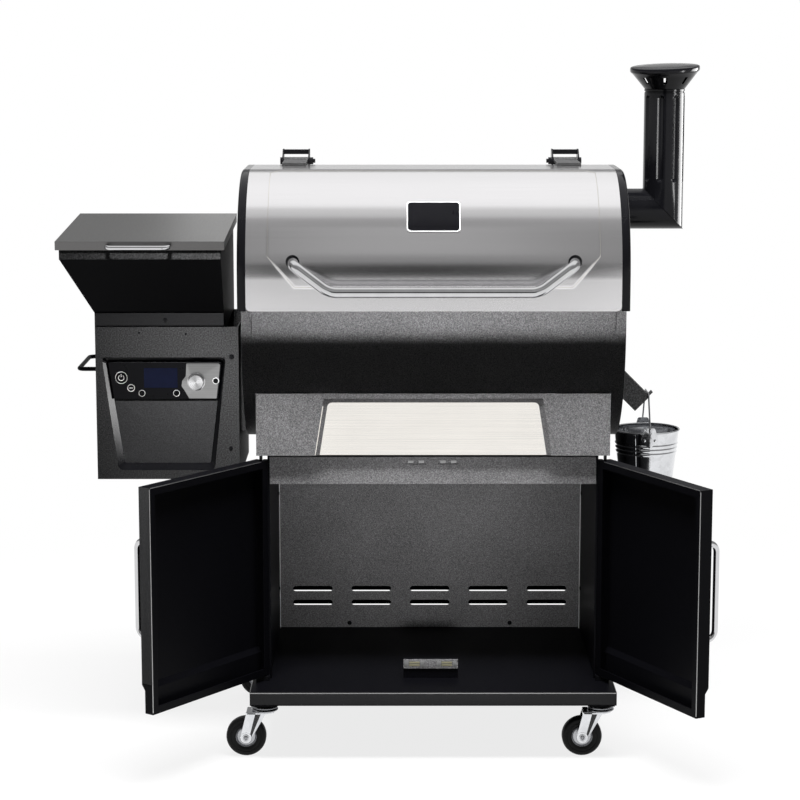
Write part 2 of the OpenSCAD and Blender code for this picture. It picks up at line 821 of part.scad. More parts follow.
module hopper_lid_handle() {
    y0 = (hop_lid_y0 - hop_hinge_y) / cos(hopper_slope);
    color("#cfd0d1") hopper_lid_frame() translate([-590, y0, hop_hinge_drop - 8]) rotate([0, 90, 0]) bow_handle(112, 24, 4);
}

module controller_plate() {
    color("#5c5d60") difference() {
        along_y(plate_y, recess_y) polygon([[-602, 738], [-392.5, 738], [-400.5, 670], [-592, 670]]);
        yrod(0, 20, knob_x, knob_z, 3 + run_gap);
        yrod(0, 20, power_x, power_z, 10.4);
        yrod(0, 20, set_x, set_z, 7.9);
        for (x = jack_x) yrod(0, 20, x, jack_z, 6);
    }
}

module display_window() {
    color("#10131c") block(-536, -474, plate_y - 1, plate_y, 691, 728);
}

module probe_jacks() {
    color("#3b3c3e") for (x = jack_x) difference() {
        yrod(plate_y - 1.5, 24, x, jack_z, 6);
        yrod(0, 18, x, jack_z, 1.75);
    }
}

module control_knob() {
    color("#b6b7b8") {
        yrod(-12, 2.4, knob_x, knob_z, 15.5);
        yrod(2, recess_y - 0.2, knob_x, knob_z, 3);
    }
}

module power_button() {
    color("#2a2b2d") yrod(plate_y - 2, recess_y - 1.8, power_x, power_z, 10);
}

module set_button() {
    color("#2a2b2d") yrod(plate_y - 2, recess_y - 1.8, set_x, set_z, 7.5);
}

module pull_handle() {
    color("#161617") translate([hop_x0, 80, 715]) rotate([-90, 0, 0]) rotate([0, 0, -90]) bow_handle(165, 42, 4);
}

module power_inlet() {
    color("#121213") difference() {
        union() {
            block(-560, -512, hop_d, hop_d + 4, 556, 588);
            block(-557, -515, hop_d + 4, hop_d + 6, 559, 585);
        }
        block(-550, -522, hop_d + 2, hop_d + 10, 564, 580);
    }
}

module auger_tube() {
    color("#6d6e70") difference() {
        xrod(-560, -47, auger_y, auger_z, auger_tube_r);
        xrod(-561, -40, auger_y, auger_z, auger_bore_r);
        block(-516, -444, auger_y - 18, auger_y + 18, 650, 680);
    }
}

module auger() {
    color("#8b8c8e") translate([-575, auger_y, auger_z]) rotate([0, 90, 0]) {
        cylinder(h = 505, r = 7);
        translate([0, 0, 25]) linear_extrude(height = 475, twist = 360 * 9, slices = 180, $fn = 8)
            translate([-1.5, 3]) square([4, 18]);
    }
}

module auger_motor() {
    color("#2c2c2d") difference() {
        block(-622, -561, 172, 238, 606, 674);
        xrod(-580, -550, auger_y, auger_z, 7 + run_gap);
    }
}

module fan_housing() {
    color("#3a3b3c") difference() {
        yrod(40, 90, -480, 590, 50);
        yrod(43, 87, -480, 590, 47);
        yrod(30, 50, -480, 590, 30);
        yrod(80, 95, -480, 590, 4 + run_gap);
    }
}

module fan_impeller() {
    color("#1a1a1b") {
        yrod(82, 85, -480, 590, 43);
        yrod(60, 88, -480, 590, 4);
        for (i = [0 : 9]) translate([-480, 0, 590]) rotate([0, 36 * i, 0]) block(28, 42, 48, 83, -1, 1);
    }
}

placed() base_shelf();
placed() caster_plates();
placed() side_wall(-1);  // left_wall
placed() side_wall(1);  // right_wall
placed() back_panel();
placed() header_rail();
placed() magnet_catches();
placed() fascia();
placed() fascia_plate();
placed() barrel_cradle();
placed() door_pivots();
placed() left_door();
placed() left_door_handle();
placed() right_door();
placed() right_door_handle();
placed() barrel_shell();
placed() barrel_left_end();
placed() barrel_right_end();
placed() lid_hinge_brackets();
placed() lid_shell();
placed() lid_end_caps();
placed() lid_handle_feet();  // lid_handle
placed() lid_hinge_knuckles();
placed() cooking_grate();
placed() warming_rack();
placed() drip_tray();
placed() heat_baffle();
placed() fire_pot();
placed() chimney_pipe();
placed() chimney_cap();
placed() grease_spout();
placed() pail();
placed() pail_bail();
placed() hopper_housing();
placed() hopper_front();
placed() hopper_bin();
placed() hopper_hinge();
placed() hopper_lid();
placed() hopper_lid_handle();
placed() controller_plate();
placed() display_window();
placed() probe_jacks();
placed() control_knob();
placed() power_button();
placed() set_button();
placed() pull_handle();
placed() power_inlet();
placed() auger_tube();
placed() auger();
placed() auger_motor();
placed() fan_housing();
placed() fan_impeller();
placed() caster_fork(-caster_x, caster_front_y);  // front_left_fork
placed() caster_wheel(-caster_x, caster_front_y);  // front_left_wheel
placed() caster_fork(caster_x, caster_front_y);  // front_right_fork
placed() caster_wheel(caster_x, caster_front_y);  // front_right_wheel
placed() caster_fork(-caster_x, caster_rear_y);  // rear_left_fork
placed() caster_wheel(-caster_x, caster_rear_y);  // rear_left_wheel
placed() caster_fork(caster_x, caster_rear_y);  // rear_right_fork
placed() caster_wheel(caster_x, caster_rear_y);  // rear_right_wheel
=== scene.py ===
"""Dresses a pellet smoker grill: finishes, fine pieces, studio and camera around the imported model.

Sizes are in millimetres from the grill's own datum: the barrel's middle (x), the cabinet's front plane (y)
and the floor (z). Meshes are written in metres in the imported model's frame.
"""

import logging
import math
from abc import ABC, abstractmethod
from dataclasses import dataclass, field
from enum import Enum
from typing import Optional, Sequence, Union

import bmesh
import bpy
import numpy as np
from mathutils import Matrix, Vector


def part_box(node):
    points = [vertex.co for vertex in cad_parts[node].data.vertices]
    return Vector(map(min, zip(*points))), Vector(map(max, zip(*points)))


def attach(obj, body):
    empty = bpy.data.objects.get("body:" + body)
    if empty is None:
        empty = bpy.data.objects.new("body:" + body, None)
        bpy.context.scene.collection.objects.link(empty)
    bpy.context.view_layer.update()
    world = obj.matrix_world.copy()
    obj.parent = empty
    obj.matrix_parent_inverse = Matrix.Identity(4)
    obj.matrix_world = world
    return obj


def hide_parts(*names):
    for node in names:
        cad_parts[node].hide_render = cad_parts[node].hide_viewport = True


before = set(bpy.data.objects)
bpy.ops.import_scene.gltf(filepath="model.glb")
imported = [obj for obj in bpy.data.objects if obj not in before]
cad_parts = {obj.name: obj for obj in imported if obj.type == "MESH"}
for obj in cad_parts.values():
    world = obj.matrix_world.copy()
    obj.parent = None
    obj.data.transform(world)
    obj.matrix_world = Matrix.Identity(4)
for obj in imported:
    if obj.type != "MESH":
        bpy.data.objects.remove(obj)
log = logging.getLogger("grill")

Array = np.ndarray
Socket = bpy.types.NodeSocket
Input = Union[Socket, float, tuple]

MM = 0.001
MERGE_M = 2e-6
WELD_M = 1e-5
SHARP_ANGLE = math.radians(38)
BEVEL_ANGLE = math.radians(32)
FLAT_ANGLE = math.radians(0.6)
BEVEL_STEPS = 2
EDGE_STEPS = 5
HUB_R = 0.2
DIAGONAL = 0.7071
SIDES = (-1, 1)
UP = (0.0, 0.0, 1.0)
BACK = (0.0, 1.0, 0.0)
WHITE = (1, 1, 1, 1)


def datum() -> Array:
    """Returns the grill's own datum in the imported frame, read from the barrel shell and the left wall."""
    low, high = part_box("barrel_shell")
    return np.array([(low.x + high.x) / 2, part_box("left_wall")[0].y, 0.0])


DATUM = datum()


def to_frame(points: Array) -> Array:
    """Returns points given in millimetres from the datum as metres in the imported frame."""
    return np.asarray(points, float) * MM + DATUM


class Axis(Enum):
    """The line a turned piece is spun about: two cross directions, then the direction along it."""

    X = ((0, 1, 0), (0, 0, 1), (1, 0, 0))
    Y = ((1, 0, 0), (0, 0, 1), (0, 1, 0))
    Z = ((1, 0, 0), (0, 1, 0), (0, 0, 1))

    @property
    def directions(self) -> list[Array]:
        """The three directions as arrays."""
        return [np.array(direction, float) for direction in self.value]


class Coat(Enum):
    """Finishes by their plain names; each value says where it goes and names the record's material slot."""

    POWDER = ("barrel and cabinet", "powder_black")
    HOPPER_POWDER = ("hopper", "powder_black")
    SATIN = ("cart and doors", "powder_black")
    PANEL = ("apron and strip", "powder_black")
    RECESS = ("recess floor", "powder_black")
    # painted highlight: a light brushed grey on bent edges of black parts, standing in for the light those
    # edges catch
    EDGE_HIGHLIGHT = ("bent edges", "powder_black")
    ENAMEL = ("chimney and caps", "gloss_black")
    SCREW = ("screws and brackets", "gloss_black")
    LID_STEEL = ("lid", "stainless")
    PLATE_STEEL = ("fascia plate", "stainless")
    HOPPER_STEEL = ("hopper lid", "dark_stainless")
    CHROME = ("handles", "chrome")
    ZINC = ("caster fittings and feed", "zinc")
    MAGNET = ("magnets", "zinc")
    GALVANISED = ("pail and forks", "galvanised")
    TYRE = ("tyres", "wheel_black")
    GRATE = ("grate and tray", "grate_enamel")
    FIRE = ("fire pot and baffle", "fire_steel")
    PLASTIC = ("controller", "black_plastic")
    GLASS = ("display", "display_glass")
    SPUN = ("knob face", "satin_aluminium")
    SILVER = ("controller's light part", "satin_aluminium")
    MARK = ("rings and signs", "satin_aluminium")
    MOTOR = ("motor and fan", "motor_grey")

    @property
    def slot(self) -> str:
        """The record's material slot."""
        return self.value[1]


def scaled(colour: tuple, factor: float) -> tuple:
    """Returns a colour with each channel times a factor."""
    return tuple(channel * factor for channel in colour)


class Graph:
    """A node tree under construction, with short methods that add and link nodes."""

    def __init__(self, tree: bpy.types.NodeTree) -> None:
        """Starts with an empty tree."""
        self.nodes, self.links = tree.nodes, tree.links
        self.nodes.clear()

    def put(self, target: Socket, value: Input) -> None:
        """Links a socket to an input, or sets a plain value on it.

        Args:
            target: the input.
            value: the socket or the plain value.
        """
        if isinstance(value, Socket):
            self.links.new(value, target)
        else:
            target.default_value = value

    def fill(self, node: bpy.types.Node, **values: Input) -> bpy.types.Node:
        """Sets or links a node's inputs.

        Args:
            node: the node.
            values: inputs by name, where underscores stand for spaces.

        Returns:
            The same node.
        """
        for name, value in values.items():
            self.put(node.inputs[name.replace("_", " ")], value)
        return node

    def add(self, kind: str, **values: Input) -> bpy.types.Node:
        """Returns a new node of that kind with its inputs set or linked."""
        return self.fill(self.nodes.new(kind), **values)

    def ramp(self, value: Socket, *stops: tuple) -> Socket:
        """Runs a colour through stops.

        Args:
            value: what the colour follows.
            stops: positions in rising order, each with a grey or a colour.

        Returns:
            The colour's socket.
        """
        node = self.add("ShaderNodeValToRGB", Fac=value)
        marks = node.color_ramp.elements
        while len(marks) < len(stops):
            marks.new(0.5)
        for mark, (position, tone) in zip(marks, stops):
            mark.position = position
            mark.color = (*tone, 1) if isinstance(tone, tuple) else (tone, tone, tone, 1)
        return node.outputs[0]

    def sums(self, kind: str, a: Input, b: Input = 0.5, c: Input = 0.5) -> Socket:
        """Works out a sum.

        Args:
            kind: the math node's operation.
            a: the first value.
            b: the second value, where the operation has one.
            c: the third value, where the operation has one.

        Returns:
            The sum's socket.
        """
        node = self.nodes.new("ShaderNodeMath")
        node.operation = kind
        for socket, value in zip(node.inputs, (a, b, c)):
            self.put(socket, value)
        return node.outputs[0]

    def gain(self, value: Input, factor: Input, plus: Input) -> Socket:
        """Returns a value times a factor, plus another value."""
        return self.sums("MULTIPLY_ADD", value, factor, plus)

    def axes(self, vector: Socket) -> Sequence[Socket]:
        """Returns the x, y and z sockets of a vector."""
        return self.add("ShaderNodeSeparateXYZ", Vector=vector).outputs

    def seen(self) -> Socket:
        """Tells the rays that show the background: those of the camera, of gloss and of glass.

        Returns:
            1 for camera, glossy and transmission rays, and 0 for the rest.
        """
        path = self.add("ShaderNodeLightPath").outputs
        shown = self.sums("MAXIMUM", path["Is Camera Ray"], path["Is Glossy Ray"])
        return self.sums("MAXIMUM", shown, path["Is Transmission Ray"])

    def mixed(self, share: Socket, first: bpy.types.Node, second: bpy.types.Node) -> Socket:
        """Mixes two shaders.

        Args:
            share: the second one's share.
            first: the first shader.
            second: the second shader.

        Returns:
            The mixed shader's socket.
        """
        node = self.nodes.new("ShaderNodeMixShader")
        for target, source in zip(node.inputs, (share, first.outputs[0], second.outputs[0])):
            self.links.new(source, target)
        return node.outputs[0]


class Shader(Graph):
    """A material under construction: a principled shader on Object coordinates."""

    def __init__(self, name: str) -> None:
        """Starts a material.

        Args:
            name: the material's name.
        """
        self.material = bpy.data.materials.new(name)
        self.material.use_nodes = True
        super().__init__(self.material.node_tree)
        self.bsdf = self.add("ShaderNodeBsdfPrincipled")
        self.add("ShaderNodeOutputMaterial", Surface=self.bsdf.outputs[0])
        self.place = self.add("ShaderNodeTexCoord").outputs["Object"]

    def base(self, **values: Input) -> None:
        """Sets the principled shader's inputs."""
        self.fill(self.bsdf, **values)

    def stretch(self, scale: Sequence[float], shift: Sequence[float] = (0, 0, 0)) -> Socket:
        """Returns Object coordinates moved and scaled, so that a pattern can be centred or drawn out."""
        return self.add("ShaderNodeMapping", Location=shift, Scale=scale, Vector=self.place).outputs[0]

    def noise(self, scale: float, detail: float = 2.0, rough: float = 0.5,
              vector: Optional[Socket] = None) -> Socket:
        """Returns a noise value of that scale in cycles a metre."""
        inputs = {"Scale": scale, "Detail": detail, "Roughness": rough, "Vector": vector or self.place}
        return self.add("ShaderNodeTexNoise", **inputs).outputs["Fac"]

    def cells(self, scale: float) -> Socket:
        """Returns the colour of Voronoi cells, one random tone a cell."""
        return self.add("ShaderNodeTexVoronoi", Scale=scale, Vector=self.place).outputs["Color"]

    def tinted(self, value: Socket, colour: tuple, low: float, high: float) -> Socket:
        """Returns a colour times low where the value is 0 and times high where it is 1."""
        return self.ramp(value, (0.0, scaled(colour, low)), (1.0, scaled(colour, high)))

    def relief(self, height: Socket, strength: float, depth_mm: float) -> None:
        """Adds bump from a height."""
        node = self.add("ShaderNodeBump", Strength=strength, Distance=depth_mm * MM, Height=height)
        self.base(Normal=node.outputs[0])


class Finish(ABC):
    """A surface finish, which fills the nodes of a material."""

    @abstractmethod
    def mix(self, s: Shader) -> None:
        """Adds the finish's nodes to a material under construction."""

    def make(self, name: str) -> bpy.types.Material:
        """Makes a material in this finish.

        Args:
            name: the material's name.

        Returns:
            The new material.
        """
        s = Shader(name)
        self.mix(s)
        return s.material


@dataclass(frozen=True)
class PowderCoat(Finish):
    """Textured powder coat: pebbled relief with painted highlights on the pebble tops and painted shade in
    the pits, over slow clouds of tone.
    """

    colour: tuple
    grain: float = 420.0
    pebble_shade: float = 0.55
    roughness: float = 0.5
    depth_mm: float = 0.5
    strength: float = 0.55
    sheen: float = 0.25
    cloud: float = 9.0
    gloss: float = 0.22

    def mix(self, s: Shader) -> None:
        """Lets noise pebbles, over slow clouds, drive colour, roughness and relief.

        Args:
            s: the material under construction.
        """
        pebble = s.noise(self.grain, detail=3.0, rough=0.6)
        mixed = s.gain(s.noise(self.cloud), 0.1, s.gain(pebble, 0.85, 0.075))
        # painted shade and highlight: pits get a darker tone and pebble tops a lighter one, following the
        # same pebbles as the relief
        pit, top = scaled(self.colour, 1 - self.pebble_shade), scaled(self.colour, 1 + 1.6 * self.pebble_shade)
        s.base(Base_Color=s.ramp(mixed, (0.36, pit), (0.55, self.colour), (0.76, top)),
               Roughness=s.gain(pebble, self.gloss, self.roughness - self.gloss / 2),
               Specular_IOR_Level=self.sheen)
        s.relief(pebble, self.strength, self.depth_mm)


@dataclass(frozen=True)
class Enamel(Finish):
    """Smooth glossy paint with a faint orange peel and dust."""

    colour: tuple
    roughness: float = 0.18
    peel: float = 0.05
    sheen: float = 0.5
    peel_grain: float = 160.0
    haze: float = 14.0

    def mix(self, s: Shader) -> None:
        """Lets slow noise make the peel, and another noise the uneven gloss.

        Args:
            s: the material under construction.
        """
        haze = s.noise(self.haze, detail=4.0)
        s.base(Base_Color=s.tinted(haze, self.colour, 0.75, 1.3),
               Roughness=s.gain(haze, 0.14, self.roughness - 0.05), Specular_IOR_Level=self.sheen)
        s.relief(s.noise(self.peel_grain), self.peel, depth_mm=0.4)


@dataclass(frozen=True)
class BrushedSteel(Finish):
    """Steel brushed one way: fine drawn-out streaks in tone, gloss and relief, and soft smudges."""

    colour: tuple
    roughness: float = 0.3
    streak: float = 0.22
    along: tuple = (3.0, 900.0, 900.0)
    cut: float = 0.12
    gloss: float = 0.16
    smudge: float = 5.0

    def mix(self, s: Shader) -> None:
        """Lays noise stretched along the brushing over slow smudges.

        Args:
            s: the material under construction.
        """
        lines = s.noise(1.0, detail=4.0, rough=0.7, vector=s.stretch(self.along))
        tone = s.gain(s.noise(self.smudge, detail=3.0), 0.3, s.sums("MULTIPLY", lines, 0.7))
        dark, light = scaled(self.colour, 1 - self.streak), scaled(self.colour, 1 + 0.6 * self.streak)
        s.base(Base_Color=s.ramp(tone, (0.25, dark), (0.75, light)), Metallic=1.0,
               Roughness=s.gain(lines, self.gloss, self.roughness - self.gloss / 2))
        s.relief(lines, self.cut, depth_mm=0.06)


@dataclass(frozen=True)
class Plated(Finish):
    """Polished or plated metal with faint hairlines and finger haze."""

    colour: tuple
    roughness: float = 0.08
    haze: float = 0.08
    mottle: float = 0.1
    patch: float = 35.0
    hairline: float = 700.0

    def mix(self, s: Shader) -> None:
        """Lets noise haze the gloss and change the tone a little.

        Args:
            s: the material under construction.
        """
        haze = s.noise(self.patch, detail=4.0)
        s.base(Base_Color=s.tinted(haze, self.colour, 1 - self.mottle, 1 + self.mottle), Metallic=1.0,
               Roughness=s.gain(haze, self.haze, self.roughness))
        s.relief(s.noise(self.hairline), strength=0.04, depth_mm=0.05)


@dataclass(frozen=True)
class Galvanised(Finish):
    """Zinc-dipped sheet: crystal spangle in tone and gloss, with rolled streaks."""

    colour: tuple
    roughness: float = 0.16
    spangle: float = 110.0
    cloud: float = 24.0

    def mix(self, s: Shader) -> None:
        """Mixes Voronoi spangle with slow noise.

        Args:
            s: the material under construction.
        """
        cell = s.axes(s.cells(self.spangle))[0]
        cloud = s.noise(self.cloud, detail=3.0)
        tone = s.gain(cell, 0.25, s.sums("MULTIPLY", cloud, 0.7))
        s.base(Base_Color=s.tinted(tone, self.colour, 0.72, 1.2), Metallic=1.0,
               Roughness=s.gain(tone, 0.14, self.roughness - 0.05))
        s.relief(cloud, strength=0.1, depth_mm=0.5)


@dataclass(frozen=True)
class Moulded(Finish):
    """Moulded plastic or rubber with a fine even grain and rubbed patches."""

    colour: tuple
    roughness: float = 0.5
    grain: float = 1500.0
    relief: float = 0.15
    sheen: float = 0.5
    wear: float = 30.0
    gloss: float = 0.2

    def mix(self, s: Shader) -> None:
        """Lets fine grain make the relief, and slow noise wear the tone.

        Args:
            s: the material under construction.
        """
        wear = s.noise(self.wear, detail=4.0)
        s.base(Base_Color=s.tinted(wear, self.colour, 0.8, 1.45), Specular_IOR_Level=self.sheen,
               Roughness=s.gain(wear, self.gloss, self.roughness - self.gloss / 2))
        s.relief(s.noise(self.grain), self.relief, depth_mm=0.15)


@dataclass(frozen=True)
class HeatStained(Finish):
    """Bare or enamelled steel near the fire: brown and blue temper clouds and pitted scale."""

    colour: tuple
    stain: tuple
    roughness: float = 0.55
    cloud: float = 16.0
    pits: float = 380.0
    gloss: float = 0.3

    def mix(self, s: Shader) -> None:
        """Runs cloud noise between metal and stain, and adds pits.

        Args:
            s: the material under construction.
        """
        cloud = s.noise(self.cloud, detail=5.0, rough=0.6)
        pits = s.noise(self.pits, detail=3.0)
        bare = scaled(self.colour, 1.5)
        s.base(Base_Color=s.ramp(cloud, (0.35, self.stain), (0.52, self.colour), (0.7, bare)),
               Metallic=0.6, Roughness=s.gain(pits, self.gloss, self.roughness - self.gloss / 2))
        s.relief(pits, strength=0.3, depth_mm=0.3)


@dataclass(frozen=True)
class SpunMetal(Finish):
    """A turned metal face: painted sheen in soft light and dark sectors, and fine rings about the piece's own
    axis along y.
    """

    colour: tuple
    centre_mm: tuple
    sheen_sectors: float = 2.0
    roughness: float = 0.22
    turn: float = 0.8
    rings: float = 16000.0

    def mix(self, s: Shader) -> None:
        """Takes the sine of the angle about the axis for the painted sheen sectors, and of the radius for
        rings.

        Args:
            s: the material under construction.
        """
        centre = to_frame(np.array(self.centre_mm))
        x, _, z = s.axes(s.stretch((1, 1, 1), tuple(-centre)))
        # painted sheen: tone in sectors round the axis stands in for the turned face's reflection
        sector = s.sums("SINE", s.gain(s.sums("ARCTAN2", z, x), self.sheen_sectors, self.turn))
        radius = s.sums("SQRT", s.sums("ADD", s.sums("MULTIPLY", x, x), s.sums("MULTIPLY", z, z)))
        rings = s.sums("SINE", s.sums("MULTIPLY", radius, self.rings))
        tone = s.gain(sector, 0.38, s.gain(rings, 0.06, 0.5))
        s.base(Base_Color=s.tinted(tone, self.colour, 0.5, 1.35), Metallic=1.0,
               Roughness=s.gain(rings, 0.05, self.roughness))
        s.relief(rings, strength=0.1, depth_mm=0.05)


@dataclass(frozen=True)
class Screen(Finish):
    """A dark display: blue-black glass with a faint pixel grid and a dim glow."""

    colour: tuple
    glow: tuple
    roughness: float = 0.12
    sheen: float = 0.1
    pixels: float = 5200.0
    cloud: float = 40.0

    def mix(self, s: Shader) -> None:
        """Draws the pixel grid with crossed sines, and the uneven glow with noise.

        Args:
            s: the material under construction.
        """
        x, _, z = s.axes(s.place)
        across, along = (s.sums("SINE", s.sums("MULTIPLY", a, self.pixels)) for a in (x, z))
        tone = s.gain(s.sums("MULTIPLY", across, along), 0.12, s.noise(self.cloud))
        s.base(Base_Color=s.tinted(tone, self.colour, 0.7, 1.3), Roughness=self.roughness,
               Specular_IOR_Level=self.sheen, Emission_Color=s.tinted(tone, self.glow, 0.6, 1.4),
               Emission_Strength=1.0)


FINISHES = {
    Coat.POWDER: PowderCoat((0.19, 0.188, 0.192), grain=560.0, pebble_shade=0.65, strength=0.9, sheen=0.05),
    Coat.HOPPER_POWDER: PowderCoat((0.06, 0.06, 0.061), pebble_shade=0.65, strength=0.9, sheen=0.08),
    Coat.SATIN: PowderCoat((0.003, 0.003, 0.004), grain=700.0, pebble_shade=0.35, roughness=0.42, strength=0.15,
                           sheen=0.05),
    Coat.PANEL: PowderCoat((0.02, 0.02, 0.021), grain=700.0, pebble_shade=0.2, roughness=0.4, strength=0.12,
                           sheen=0.15),
    Coat.RECESS: PowderCoat((0.06, 0.06, 0.062), grain=700.0, pebble_shade=0.4, roughness=0.4, strength=0.3,
                            sheen=0.1),
    # painted highlight: light grey metal for bent edges of black parts, standing in for the light those edges
    # catch
    Coat.EDGE_HIGHLIGHT: BrushedSteel((0.5, 0.5, 0.5), roughness=0.4),
    Coat.ENAMEL: Enamel((0.004, 0.004, 0.005), roughness=0.14, sheen=0.16),
    Coat.SCREW: Enamel((0.004, 0.004, 0.005), roughness=0.25, sheen=0.3),
    Coat.LID_STEEL: BrushedSteel((0.84, 0.83, 0.84), roughness=0.19, streak=0.05, cut=0.04, gloss=0.05),
    Coat.PLATE_STEEL: BrushedSteel((0.95, 0.92, 0.87), roughness=0.2, streak=0.2),
    Coat.HOPPER_STEEL: BrushedSteel((0.17, 0.167, 0.166), roughness=0.33, streak=0.1,
                                    along=(700.0, 3.0, 700.0), cut=0.06),
    Coat.CHROME: Plated((0.62, 0.62, 0.63), roughness=0.04, haze=0.04),
    Coat.ZINC: Plated((0.4, 0.405, 0.42), roughness=0.2, haze=0.16, mottle=0.25),
    Coat.MAGNET: Plated((0.5, 0.47, 0.3), roughness=0.35),
    Coat.GALVANISED: Galvanised((0.72, 0.73, 0.75), roughness=0.1),
    Coat.TYRE: Moulded((0.008, 0.008, 0.008), roughness=0.5, sheen=0.18),
    Coat.GRATE: HeatStained((0.03, 0.03, 0.031), (0.014, 0.012, 0.011), roughness=0.45),
    Coat.FIRE: HeatStained((0.14, 0.13, 0.12), (0.07, 0.04, 0.025)),
    Coat.PLASTIC: Moulded((0.004, 0.004, 0.005), roughness=0.3, relief=0.04, sheen=0.1),
    Coat.GLASS: Screen((0.003, 0.005, 0.016), (0.001, 0.002, 0.012)),
    Coat.SPUN: SpunMetal((0.75, 0.75, 0.76), (-439, 0, 703)),
    Coat.SILVER: BrushedSteel((0.42, 0.42, 0.42), roughness=0.4, along=(3.0, 600.0, 600.0)),
    Coat.MARK: Moulded((0.9, 0.9, 0.9), roughness=0.4),
    Coat.MOTOR: Enamel((0.1, 0.1, 0.102), roughness=0.4),
}


class Paintshop:
    """Makes each finish once and paints pieces with it."""

    def __init__(self) -> None:
        """Starts with no material made."""
        self.made: dict[Coat, bpy.types.Material] = {}

    def material(self, coat: Coat) -> bpy.types.Material:
        """Gives the material of a finish, made at its first use.

        Args:
            coat: the finish.

        Returns:
            The material.
        """
        if coat not in self.made:
            self.made[coat] = FINISHES[coat].make(coat.name.lower())
        return self.made[coat]

    def paint(self, obj: bpy.types.Object, coat: Coat) -> None:
        """Gives an object that finish alone."""
        obj.data.materials.clear()
        obj.data.materials.append(self.material(coat))


SHOP = Paintshop()


@dataclass
class Loft:
    """Rings of points in millimetres, joined to their neighbours: rings[k, n] is point n of ring k.

    Fields:
        rings: the points, as an array of rings, points and three coordinates.
        round: whether each ring closes on itself.
        loop: whether the last ring joins the first one.
    """

    rings: Array
    round: bool = True
    loop: bool = False

    def quads(self) -> Array:
        """Numbers the faces between neighbouring rings.

        Returns:
            The four point numbers of each face.
        """
        k, n = self.rings.shape[:2]
        index = np.arange(k * n).reshape(k, n)
        if self.round:
            index = np.concatenate([index, index[:, :1]], axis=1)
        if self.loop:
            index = np.concatenate([index, index[:1]], axis=0)
        corners = (index[:-1, :-1], index[:-1, 1:], index[1:, 1:], index[1:, :-1])
        return np.stack(corners, -1).reshape(-1, 4)


def closed(rings: Array) -> Loft:
    """Closes a run of rings: both ends are drawn to their middle points, so the shell has no opening.

    Args:
        rings: the points, as in a loft.

    Returns:
        The closed surface.
    """
    first = np.broadcast_to(rings[:1].mean(axis=1, keepdims=True), rings[:1].shape)
    last = np.broadcast_to(rings[-1:].mean(axis=1, keepdims=True), rings[-1:].shape)
    return Loft(np.concatenate([first, rings, last]))


def circle(steps: int) -> Array:
    """Returns evenly spaced angles once round, with none twice."""
    return np.linspace(0, 2 * math.pi, steps, endpoint=False)


def arc(middle: Sequence[float], radius: float, turn: Array) -> Array:
    """Returns points at those angles on a circle, as pairs."""
    return np.stack([middle[0] + radius * np.cos(turn), middle[1] + radius * np.sin(turn)], -1)


def distance(line: Array) -> Array:
    """Returns how far along a line each of its points is."""
    return np.concatenate([[0.0], np.cumsum(np.linalg.norm(np.diff(line, axis=0), axis=1))])


def upright(line: Array, y: float) -> Array:
    """Returns pairs of x and z as points at a depth y."""
    return np.stack([line[:, 0], np.full(len(line), y), line[:, 1]], -1)


def spun(profile: Sequence[tuple], origin: Sequence[float], axis: Axis, steps: int) -> Array:
    """Spins a profile about an axis: each point goes to radius times (cosine, sine) plus its height.

    Args:
        profile: pairs of radius and height along the axis.
        origin: the point on the axis where the height is 0.
        axis: the direction of the axis.
        steps: points round one ring.

    Returns:
        The rings, one for each point of the profile.
    """
    u, v, w = axis.directions
    line = np.array(profile, float)
    angle = circle(steps)
    ring = np.cos(angle)[:, None] * u + np.sin(angle)[:, None] * v
    return line[:, :1, None] * ring[None] + (line[:, 1:, None] * w[None, None]) + np.array(origin, float)


def lathe(profile: Sequence[tuple], origin: Sequence[float], axis: Axis, steps: int = 48) -> Loft:
    """Returns a spun profile, closed at both ends."""
    return closed(spun(profile, origin, axis, steps))


def hoop(profile: Sequence[tuple], origin: Sequence[float], axis: Axis, steps: int = 40) -> Loft:
    """Returns a spun profile whose last point joins the first one, with no poles."""
    return Loft(spun(profile, origin, axis, steps), loop=True)


def tube(path: Array, radius: float, up: Sequence[float], sides: int = 18) -> Loft:
    """Carries a circle along a path: at each point the circle lies across the path's own direction.

    Args:
        path: the points of the middle line.
        radius: the tube's radius.
        up: a direction that the path never runs along; it sets where each circle starts.
        sides: points round the circle.

    Returns:
        The surface, closed at both ends.
    """
    path = np.asarray(path, float)
    along = np.gradient(path, axis=0)
    along /= np.linalg.norm(along, axis=1, keepdims=True)
    side = np.cross(along, np.array(up, float))
    side /= np.linalg.norm(side, axis=1, keepdims=True)
    over = np.cross(side, along)
    angle = circle(sides)[None, :, None]
    rings = path[:, None] + radius * (np.cos(angle) * side[:, None] + np.sin(angle) * over[:, None])
    return closed(rings)


def rod(start: Sequence[float], end: Sequence[float], radius: float, up: Sequence[float],
        sides: int = 8) -> Loft:
    """Returns a straight tube between two points, with a ring at each end and one half way."""
    return tube(np.linspace(start, end, 3), radius, up, sides)


